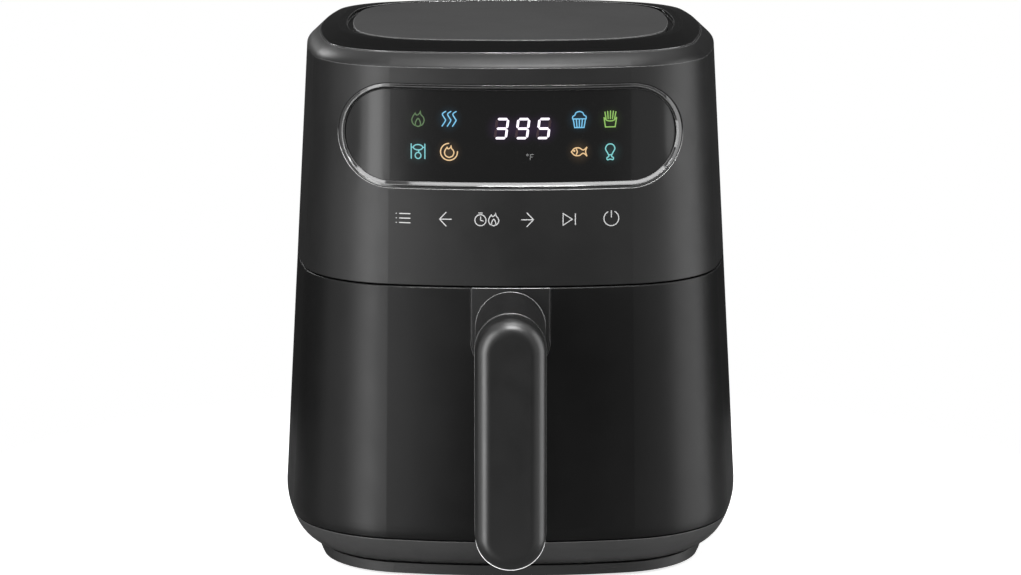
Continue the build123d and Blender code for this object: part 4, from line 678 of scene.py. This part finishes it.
def unlit_bar():
    return moulded_plastic("unlit_bar", dark=srgb(38, 26, 31), light=srgb(42, 29, 35),
                           grain_size=0.0003, depth=0.000004, smooth=0.3, dull=0.4, edge_radius=0.0001)


def print_grey():
    return moulded_plastic("print_grey", dark=srgb(150), light=srgb(162), grain_size=0.0003,
                           depth=0.000006, smooth=0.5, dull=0.6, edge_radius=0.0001)


def unit_grey():
    return moulded_plastic("unit_grey", dark=srgb(86), light=srgb(96), grain_size=0.0003,
                           depth=0.000004, smooth=0.4, dull=0.5, edge_radius=0.0001)


# Outlines of the print: strokes of points in millimetres, x to the right and z up


def arc(x, z, radius, start, end, steps=ARC_STEPS):
    """Points along an arc, angles in degrees from the right, turning left."""
    points = []
    for index in range(steps + 1):
        angle = math.radians(start + (end - start) * index / steps)
        points.append((x + radius * math.cos(angle), z + radius * math.sin(angle)))
    return points


def oval(x, z, half_width, half_height):
    """Closed oval."""
    return [(x + half_width * px, z + half_height * pz) for px, pz in arc(0, 0, 1, 0, 360)]


def smooth(points):
    """Smooth open curve through points."""
    ends = [points[0], *points, points[-1]]
    curve = []
    for before, first, second, after in zip(ends, ends[1:], ends[2:], ends[3:]):
        for index in range(CURVE_STEPS):
            share = index / CURVE_STEPS
            curve.append(tuple(spline_share(share, *axis) for axis in zip(before, first, second, after)))
    return [*curve, points[-1]]


def spline_share(share, before, first, second, after):
    """One coordinate of a Catmull-Rom span."""
    line = second - before
    bow = 2 * before - 5 * first + 4 * second - after
    twist = 3 * (first - second) + after - before
    return first + 0.5 * share * (line + share * (bow + share * twist))


def moved(strokes, x, z, scale=1.0):
    """Strokes shifted and scaled."""
    return [[(x + scale * px, z + scale * pz) for px, pz in stroke] for stroke in strokes]


def flame_outline():
    """Flame with two tips."""
    left = smooth([(0.0, -4.0), (-2.4, -2.9), (-3.4, -0.6), (-2.8, 1.6), (-1.5, 3.4)])
    notch = smooth([(-1.5, 3.4), (-0.9, 2.4), (-0.1, 2.5)])
    tip = smooth([(-0.1, 2.5), (0.9, 3.3), (1.4, 4.5)])
    right = smooth([(1.4, 4.5), (1.7, 2.7), (3.0, 1.2), (3.4, -0.8), (2.3, -3.0), (0.0, -4.0)])
    return [left + notch[1:] + tip[1:] + right[1:]]


def flame():
    inner = smooth([(-1.4, -3.4), (-1.3, -1.5), (0.1, 0.5), (1.3, -1.5), (1.4, -3.4)])
    return [*flame_outline(), inner]


def steam():
    wave = [(1.1, 4.2), (-0.7, 2.7), (0.5, 0.3), (1.0, -0.9), (-0.9, -4.0)]
    return [smooth([(x + shift, z) for x, z in wave]) for shift in (-2.9, 0.0, 2.9)]


def skewer():
    posts = [[(-3.8, 4.0), (-3.8, -4.0)], [(3.8, 4.0), (3.8, -4.0)]]
    bars = [[(-3.8, 2.2), (-2.6, 2.2)], [(2.6, 2.2), (3.8, 2.2)]]
    pieces = [oval(0.0, 2.2, 2.6, 1.5), oval(0.0, -2.4, 1.6, 1.7), [(0.3, -0.7), (0.5, 0.7)]]
    return [*posts, *bars, *pieces]


def reheat():
    ring = arc(0.0, 0.0, 4.7, 92.0, 362.0)
    return [ring, *moved(flame_outline(), 0.1, -0.1, 0.76)]


def cupcake():
    dome = smooth([(-3.7, 0.5), (-3.7, 1.8), (-2.5, 2.7), (-1.8, 4.0), (0.0, 4.6), (1.8, 4.0),
                   (2.5, 2.7), (3.7, 1.8), (3.7, 0.5)])
    cup = [(-3.4, 0.5), (-2.6, -4.3), (2.6, -4.3), (3.4, 0.5)]
    ribs = [[(share * 3.4, 0.3), (share * 2.6, -4.1)] for share in (-0.5, 0.0, 0.5)]
    return [dome, [(-3.7, 0.5), (3.7, 0.5)], cup, *ribs]


def fries():
    carton = [(-3.5, 0.9), (-2.7, -4.3), (2.7, -4.3), (3.5, 0.9)]
    front = smooth([(-3.5, 0.9), (-2.0, -0.6), (0.0, -1.0), (2.0, -0.6), (3.5, 0.9)])
    feet = (-2.4, -1.2, 0.0, 1.2, 2.4)
    tips = ((-3.0, 4.0), (-1.5, 4.3), (0.1, 4.5), (1.7, 4.4), (3.1, 4.0))
    sticks = [[(foot, 0.3), tip] for foot, tip in zip(feet, tips)]
    return [carton, front, *sticks]


def fish():
    back = smooth([(-4.4, 0.0), (-2.6, 1.9), (0.0, 2.1), (2.2, 0.9), (4.2, 2.4)])
    belly = smooth([(-4.4, 0.0), (-2.6, -1.9), (0.0, -2.1), (2.2, -0.9), (4.2, -2.4)])
    tail = smooth([(4.2, 2.4), (3.5, 0.0), (4.2, -2.4)])
    gill = smooth([(-1.6, 1.4), (-1.1, 0.0), (-1.6, -1.4)])
    return [back, belly, tail, gill, oval(-2.8, 0.5, 0.25, 0.25)]


def drumstick():
    meat = smooth([(-0.9, -1.6), (-1.5, -0.4), (-2.6, 1.9), (-1.7, 3.9), (0.0, 4.5), (1.7, 3.9),
                   (2.6, 1.9), (1.5, -0.4), (0.9, -1.6)])
    bone = smooth([(-0.9, -1.6), (-0.8, -2.5), (-1.8, -3.2), (-1.5, -4.3), (0.0, -4.0), (1.5, -4.3),
                   (1.8, -3.2), (0.8, -2.5), (0.9, -1.6)])
    return [meat, bone, [(-0.9, -1.6), (0.9, -1.6)]]


def unit_mark():
    """Degree sign and the letter for the scale."""
    degree = oval(-1.6, 1.0, 0.42, 0.42)
    stem = [(-0.3, -1.5), (-0.1, 1.2), (1.4, 1.2)]
    return [degree, stem, [(-0.2, -0.1), (1.0, -0.1)]]


def touch_menu():
    lines = [[(-1.7, z), (3.8, z)] for z in (2.4, 0.0, -2.4)]
    dots = [[(-3.5, z), (-3.35, z)] for z in (2.4, 0.0, -2.4)]
    return lines + dots


def touch_left():
    return [[(0.3, 3.6), (-3.1, 0.0), (0.3, -3.6)], [(-3.1, 0.0), (3.1, 0.0)]]


def touch_right():
    return [[(-0.3, 3.6), (3.1, 0.0), (-0.3, -3.6)], [(3.1, 0.0), (-3.1, 0.0)]]


def touch_timer():
    hands = [(-3.1, 1.5), (-3.1, -0.3), (-1.8, -0.7)]
    watch = [oval(-3.2, -0.3, 2.9, 2.9), [(-4.1, 3.5), (-2.3, 3.5)], hands]
    fire = moved(flame(), 3.7, -0.1, 0.78)
    return watch + fire


def touch_play():
    return [[(-3.3, 3.1), (1.5, 0.0), (-3.3, -3.1), (-3.3, 3.1)], [(3.1, 2.9), (3.1, -2.9)]]


def touch_power():
    return [arc(0.0, 0.0, 3.9, 118.0, 422.0), [(0.0, 4.0), (0.0, 0.6)]]


def shift_point(point, direction, distance):
    """Point moved along a direction."""
    return point[0] + direction[0] * distance, point[1] + direction[1] * distance


def unit_step(first, second):
    """Direction from one point to another."""
    run = (second[0] - first[0], second[1] - first[1])
    size = math.hypot(*run) or 1.0
    return run[0] / size, run[1] / size


def stroke_mesh(points, width):
    """Flat vertices and faces of a stroke with round ends and mitred bends."""
    half = width / 2
    closed = math.dist(points[0], points[-1]) < half * CLOSED_SHARE
    last = len(points) - 1
    vertices = []
    for index, point in enumerate(points):
        before = points[index - 1] if index else (points[last - 1] if closed else None)
        after = points[index + 1] if index < last else (points[1] if closed else None)
        entry = unit_step(before, point) if before else unit_step(point, after)
        leave = unit_step(point, after) if after else entry
        middle = unit_step((0, 0), (entry[0] + leave[0], entry[1] + leave[1]))
        reach = half / max(MITRE_LIMIT, middle[0] * leave[0] + middle[1] * leave[1])
        side = (-middle[1], middle[0])
        vertices.append(shift_point(point, side, reach))
        vertices.append(shift_point(point, side, -reach))
    faces = [(2 * i, 2 * i + 1, 2 * i + 3, 2 * i + 2) for i in range(last)]
    if not closed:
        round_end(vertices, faces, points[0], unit_step(points[1], points[0]), (1, 0), half)
        round_end(vertices, faces, points[last], unit_step(points[last - 1], points[last]),
                  (2 * last, 2 * last + 1), half)
    return vertices, faces


def round_end(vertices, faces, centre, outward, rim, half):
    """Closes the end of a stroke with a half disc between two rim vertices."""
    heading = math.degrees(math.atan2(outward[1], outward[0]))
    turn = arc(*centre, half, heading + 90, heading - 90, CAP_STEPS)[1:-1]
    first = len(vertices)
    vertices.extend(turn)
    faces.append((rim[1], rim[0], *range(first, first + len(turn))))


def add_object(name, data):
    """Object of the scene for a mesh, lamp or camera."""
    made = bpy.data.objects.new(name, data)
    bpy.context.scene.collection.objects.link(made)
    return made


def add_mesh(name, vertices, faces, finish):
    """Object with one mesh and one finish."""
    mesh = bpy.data.meshes.new(name)
    mesh.from_pydata(vertices, [], faces)
    mesh.validate()
    mesh.update()
    mesh.materials.append(finish)
    return add_object(name, mesh)


def add_piece(name, vertices, faces, finish, body):
    """Piece of the part that rides on a body and belongs to a material slot."""
    piece = add_mesh(name, vertices, faces, finish)
    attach(piece, body)


def faces_between(rings, sides):
    """Faces that join rings of vertices, one ring after the other."""
    faces = []
    for ring in range(rings - 1):
        for side in range(sides):
            here = ring * sides + side
            beside = ring * sides + (side + 1) % sides
            faces.append((here, beside, beside + sides, here + sides))
    return faces


def lay_on(name, carrier, patches, finish):
    """Thin raised print that follows the surface of its carrier and rides on the housing."""
    vertices = []
    faces = []
    for flat, cells in patches:
        base = len(vertices)
        count = len(flat)
        for lift in (PRINT_PROUD, -PRINT_SUNK):
            for x, z in flat:
                spot, normal = front_point(carrier, x, z)
                vertices.append(spot + normal * lift * MM)
        edges = [pair for cell in cells for pair in zip(cell, [*cell[1:], cell[0]])]
        for cell in cells:
            faces.append([base + index for index in cell])
            faces.append([base + count + index for index in reversed(cell)])
        for first, second in edges:
            if (second, first) not in edges:
                faces.append([base + second, base + first, base + count + first, base + count + second])
    add_piece(name, vertices, faces, finish, "housing")


def print_strokes(name, carrier, strokes, centre, width, finish, scale=1.0):
    """Lays the strokes of one sign on its carrier."""
    patches = [stroke_mesh(stroke, width) for stroke in moved(strokes, *centre, scale)]
    lay_on(name, carrier, patches, finish)


def make_lit_icons():
    """Eight lit programme icons on the lens."""
    shapes = {"flame": flame(), "steam": steam(), "skewer": skewer(), "reheat": reheat(),
              "cupcake": cupcake(), "fries": fries(), "fish": fish(), "drumstick": drumstick()}
    inks = {tint: lit_ink("icon_" + tint, colour, ICON_STRENGTH)
            for tint, colour in LIT_COLOURS.items() if tint != "digit"}
    for name, (centre, tint) in LIT_ICONS.items():
        print_strokes("icon_" + name, LENS, shapes[name], centre, ICON_STROKE, inks[tint],
                      ICON_SCALE)


def digit_bar(letter, left):
    """Six cornered bar of a digit whose lower left corner is at left."""
    low = DIGIT_BAR / 2
    right = DIGIT_WIDTH - low
    middle = DIGIT_HEIGHT / 2
    top = DIGIT_HEIGHT - low
    ends = {"a": ((low, top), (right, top)), "b": ((right, middle), (right, top)),
            "c": ((right, low), (right, middle)), "d": ((low, low), (right, low)),
            "e": ((low, low), (low, middle)), "f": ((low, middle), (low, top)),
            "g": ((low, middle), (right, middle))}[letter]
    along = unit_step(*ends)
    side = (-along[1], along[0])
    start = shift_point(ends[0], along, DIGIT_GAP)
    end = shift_point(ends[1], along, -DIGIT_GAP)
    neck_start = shift_point(start, along, low)
    neck_end = shift_point(end, along, -low)
    corners = [start, shift_point(neck_start, side, -low), shift_point(neck_end, side, -low), end,
               shift_point(neck_end, side, low), shift_point(neck_start, side, low)]
    return [(left + x + DIGIT_LEAN * z, DIGIT_LOW + z) for x, z in corners], [(0, 1, 2, 3, 4, 5)]


def make_digits():
    """Three digits with lit and unlit bars, and the unit under them."""
    lit = []
    dark = []
    for index, letters in enumerate(BARS_LIT):
        left = DIGIT_LEFT + index * DIGIT_PITCH
        for letter in ALL_BARS:
            (lit if letter in letters else dark).append(digit_bar(letter, left))
    lay_on("digits_lit", LENS, lit, lit_ink("digit_white", LIT_COLOURS["digit"], DIGIT_STRENGTH))
    lay_on("digits_unlit", LENS, dark, unlit_bar())
    print_strokes("unit_mark", LENS, unit_mark(), UNIT_PLACE, UNIT_STROKE, unit_grey())


def make_touch_row():
    """Six printed touch signs on the housing."""
    ink = print_grey()
    signs = {"touch_menu": touch_menu(), "touch_left": touch_left(), "touch_timer": touch_timer(),
             "touch_right": touch_right(), "touch_play": touch_play(), "touch_power": touch_power()}
    for x, (name, strokes) in zip(TOUCH_COLUMNS, signs.items()):
        print_strokes(name, HOUSING, strokes, (x, TOUCH_ROW), TOUCH_STROKE, ink)


def make_handle_glint():
    """Glowing strip that paints a highlight round the foot of the grip, thinner towards its ends."""
    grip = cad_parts["handle_grip"]
    corners = [grip.matrix_world @ Vector(corner) for corner in grip.bound_box]
    low = [min(corner[axis] for corner in corners) for axis in range(3)]
    high = [max(corner[axis] for corner in corners) for axis in range(3)]
    reach = (high[0] - low[0]) / 2
    middle = Vector(((high[0] + low[0]) / 2, low[1] + GLINT_SET * MM, low[2] + reach))
    vertices = []
    for step in range(GLINT_STEPS + 1):
        share = step / GLINT_STEPS
        angle = math.radians(GLINT_START + (GLINT_END - GLINT_START) * share)
        outward = Vector((math.cos(angle), 0.0, math.sin(angle)))
        thick = GLINT_RADIUS * MM * max(GLINT_END_SHARE, math.sin(math.pi * share) ** GLINT_SWELL)
        for side in range(GLINT_SIDES):
            turn = 2 * math.pi * side / GLINT_SIDES
            ring = outward * math.cos(turn) + Vector((0.0, math.sin(turn), 0.0))
            vertices.append(middle + outward * (reach - GLINT_DEPTH * MM) + ring * thick)
    faces = faces_between(GLINT_STEPS + 1, GLINT_SIDES)
    faces.append(tuple(reversed(range(GLINT_SIDES))))
    faces.append(tuple(GLINT_STEPS * GLINT_SIDES + side for side in range(GLINT_SIDES)))
    add_piece("handle_glint", vertices, faces, glint_bright(), "drawer")


FINISHES = {make.__name__: make for make in (
    body_black, base_black, shaded_front_black, plinth_black, rubber_black, gloss_black, bezel_black, lens_black,
    plate_grey, handle_black, trim_chrome, grille_black, steel, screw_steel, reflector_alloy,
    element_steel, terminal_white, seal_grey, stator_iron, winding_copper, bush_bronze, board_green,
    component_black, guide_white, nonstick_grey, liner_grey, magnet_grey, silicone_grey)}
# The drawer front's own finish is a darker copy of the housing's plastic, painted shade; the bezel's has
# broader soft edges
OWN_FINISH = {"drawer_front": "shaded_front_black", "display_bezel": "bezel_black"}


def finish_nodes():
    """Gives every carried over node the finish of its material slot, or its own."""
    made = {}
    for name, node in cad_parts.items():
        for holder in node.material_slots:
            slot = OWN_FINISH.get(name, holder.material.name.split(".")[0])
            if slot not in made:
                made[slot] = FINISHES[slot]()
            holder.material = made[slot]


# Studio: floor, flags, lamps and camera


# Floor: sizes in metres, how pale it is, its own light, and the share that mirrors don't see
FLOOR_CENTRE = 0.001
FLOOR_RADIUS = 0.36
FLOOR_FADE = 0.20
FLOOR_RINGS = 24
FLOOR_TURNS = 96
FLOOR_ALBEDO = 0.86
FLOOR_LIFT = 0.70
FLOOR_HIDDEN = 0.88
# Flags: sizes in metres, where their grey goes over into black, and their cloth
FLAG_RADIUS = 2.6
FLAG_CENTRE = 0.01
FLAG_HEIGHT = 2.3
FLAG_DROP = -1.3
FLAG_GREY_END = 0.2
FLAG_BLACK_START = 1.8
FLAG_GREYS = (srgb(66), srgb(72))
FLAG_BLACK = srgb(34)
FLAG_WEAVE = 0.002
# Light of the white surround on dull faces, and what the lamps aim at
SKY_LEVEL = 0.45
LAMP_AIM = (0.0, 0.0, 0.17)
CORNER_AIM = (-0.10, -0.06, 0.27)
# Place, aim, width, height and power of each softbox, in metres and watts
SOFTBOXES = {
    "left_softbox": ((-1.14, -1.24, 0.26), LAMP_AIM, 0.50, 2.2, 16.5),
    "left_fill": ((-1.18, -1.30, 0.26), LAMP_AIM, 1.10, 2.2, 23.0),
    "left_side": ((-1.62, -0.42, 0.26), LAMP_AIM, 1.30, 2.2, 8.0),
    "right_softbox": ((1.67, -0.08, 0.26), LAMP_AIM, 1.25, 2.2, 27.0),
    "right_fill": ((1.22, -1.22, 0.26), LAMP_AIM, 1.20, 2.2, 5.5),
    "top_softbox": ((0.12, -0.25, 1.5), LAMP_AIM, 0.8, 0.5, 9.0),
    "high_softbox": ((0.10, -0.92, 1.33), LAMP_AIM, 0.5, 0.25, 20.0),
    "corner_softbox": ((-0.95, 1.05, 0.85), CORNER_AIM, 0.35, 0.35, 5.0),
}


def add_rings(name, rings, finish):
    """Surface of the stage: rings about the upright axis, each a radius and a height."""
    vertices = []
    for radius, height in rings:
        for index in range(FLOOR_TURNS):
            angle = 2 * math.pi * index / FLOOR_TURNS
            vertices.append((radius * math.cos(angle), radius * math.sin(angle), height))
    made = add_mesh(name, vertices, faces_between(len(rings), FLOOR_TURNS), finish)
    return made


def seen_or_mirrored(tree):
    """One for rays that the camera sees directly, in a mirror or through glass."""
    path = place(tree, "ShaderNodeLightPath").outputs
    either = sum_up(tree, "MAXIMUM", path["Is Camera Ray"], path["Is Glossy Ray"])
    return sum_up(tree, "MAXIMUM", either, path["Is Transmission Ray"])


def floor_white():
    """Pale paper that fades into the white background."""
    material = bpy.data.materials.new("floor_white")
    material.use_nodes = True
    tree = material.node_tree
    tree.nodes.clear()
    where = place(tree, "ShaderNodeTexCoord").outputs["Object"]
    fade = stretch(tree, arrow_math(tree, "LENGTH", where)["Value"], FLOOR_FADE, FLOOR_RADIUS)
    paper = place(tree, "ShaderNodeBsdfDiffuse", {"Color": (FLOOR_ALBEDO,) * 3 + (1.0,)}).outputs[0]
    path = place(tree, "ShaderNodeLightPath").outputs
    lift = sum_up(tree, "MULTIPLY", path["Is Camera Ray"], FLOOR_LIFT)
    hidden = sum_up(tree, "MULTIPLY", path["Is Glossy Ray"], FLOOR_HIDDEN)
    fade = sum_up(tree, "MAXIMUM", fade, hidden)
    shine = place(tree, "ShaderNodeEmission", {"Strength": lift}).outputs[0]
    bright = place(tree, "ShaderNodeAddShader", {0: paper, 1: shine}).outputs[0]
    clear = place(tree, "ShaderNodeBsdfTransparent").outputs[0]
    whole = place(tree, "ShaderNodeMixShader", {0: fade, 1: bright, 2: clear}).outputs[0]
    place(tree, "ShaderNodeOutputMaterial", {"Surface": whole})
    return material


def make_floor():
    """Round sheet of paper under the object."""
    steps = range(FLOOR_RINGS + 1)
    rings = [(FLOOR_CENTRE + FLOOR_RADIUS * step / FLOOR_RINGS, 0.0) for step in steps]
    add_rings("floor", rings, floor_white())


def flag_black():
    """Dull cloth of the studio flags, grey in front and black behind the object."""
    cloth = Finish("flag_black", Roughness=0.9)
    weave = cloth.effect(MOULDED_GRAIN, Grain_Size=FLAG_WEAVE)
    grey = cloth.colour(weave["Shade"], *FLAG_GREYS)
    where = place(cloth.tree, "ShaderNodeTexCoord").outputs["Object"]
    depth = place(cloth.tree, "ShaderNodeSeparateXYZ", {"Vector": where}).outputs["Y"]
    cloth.colour(stretch(cloth.tree, depth, FLAG_GREY_END, FLAG_BLACK_START), grey, FLAG_BLACK)
    return cloth.material


def make_flags():
    """Dark surround that the glossy faces mirror, unseen by the camera."""
    rings = [(FLAG_CENTRE, FLAG_DROP), (FLAG_RADIUS, FLAG_DROP), (FLAG_RADIUS, FLAG_HEIGHT)]
    flags = add_rings("flags", rings, flag_black())
    flags.visible_camera = False
    flags.visible_shadow = False
    flags.visible_diffuse = False


def make_sky():
    """White background, and a soft even light from it."""
    world = bpy.data.worlds.new("studio")
    bpy.context.scene.world = world
    world.use_nodes = True
    tree = world.node_tree
    level = stretch(tree, seen_or_mirrored(tree), 0.0, 1.0, SKY_LEVEL, 1.0)
    tree.links.new(level, tree.nodes["Background"].inputs["Strength"])
    tree.nodes["Background"].inputs["Color"].default_value = (1.0, 1.0, 1.0, 1.0)


def turn_to(made, target):
    """Aims a lamp or camera."""
    made.rotation_euler = (Vector(target) - made.location).to_track_quat("-Z", "Y").to_euler()


def make_lamps():
    """Rectangular softboxes round the object."""
    for name, (location, target, width, height, power) in SOFTBOXES.items():
        light = bpy.data.lights.new(name, "AREA")
        light.shape = "RECTANGLE"
        light.size = width
        light.size_y = height
        light.energy = power
        box = add_object(name, light)
        box.location = location
        turn_to(box, target)


def make_camera():
    """Camera that sees the object as the photograph does."""
    lens = bpy.data.cameras.new("camera")
    lens.sensor_width = SENSOR_WIDTH
    lens.sensor_fit = "HORIZONTAL"
    lens.lens = FOCAL_PIXELS * SENSOR_WIDTH / IMAGE_WIDTH
    camera = add_object("camera", lens)
    camera.location = CAMERA_PLACE
    turn_to(camera, CAMERA_AIM)
    bpy.context.scene.camera = camera


finish_nodes()
make_lit_icons()
make_digits()
make_touch_row()
make_handle_glint()
make_floor()
make_flags()
make_sky()
make_lamps()
make_camera()
bpy.context.scene.view_settings.view_transform = "Standard"
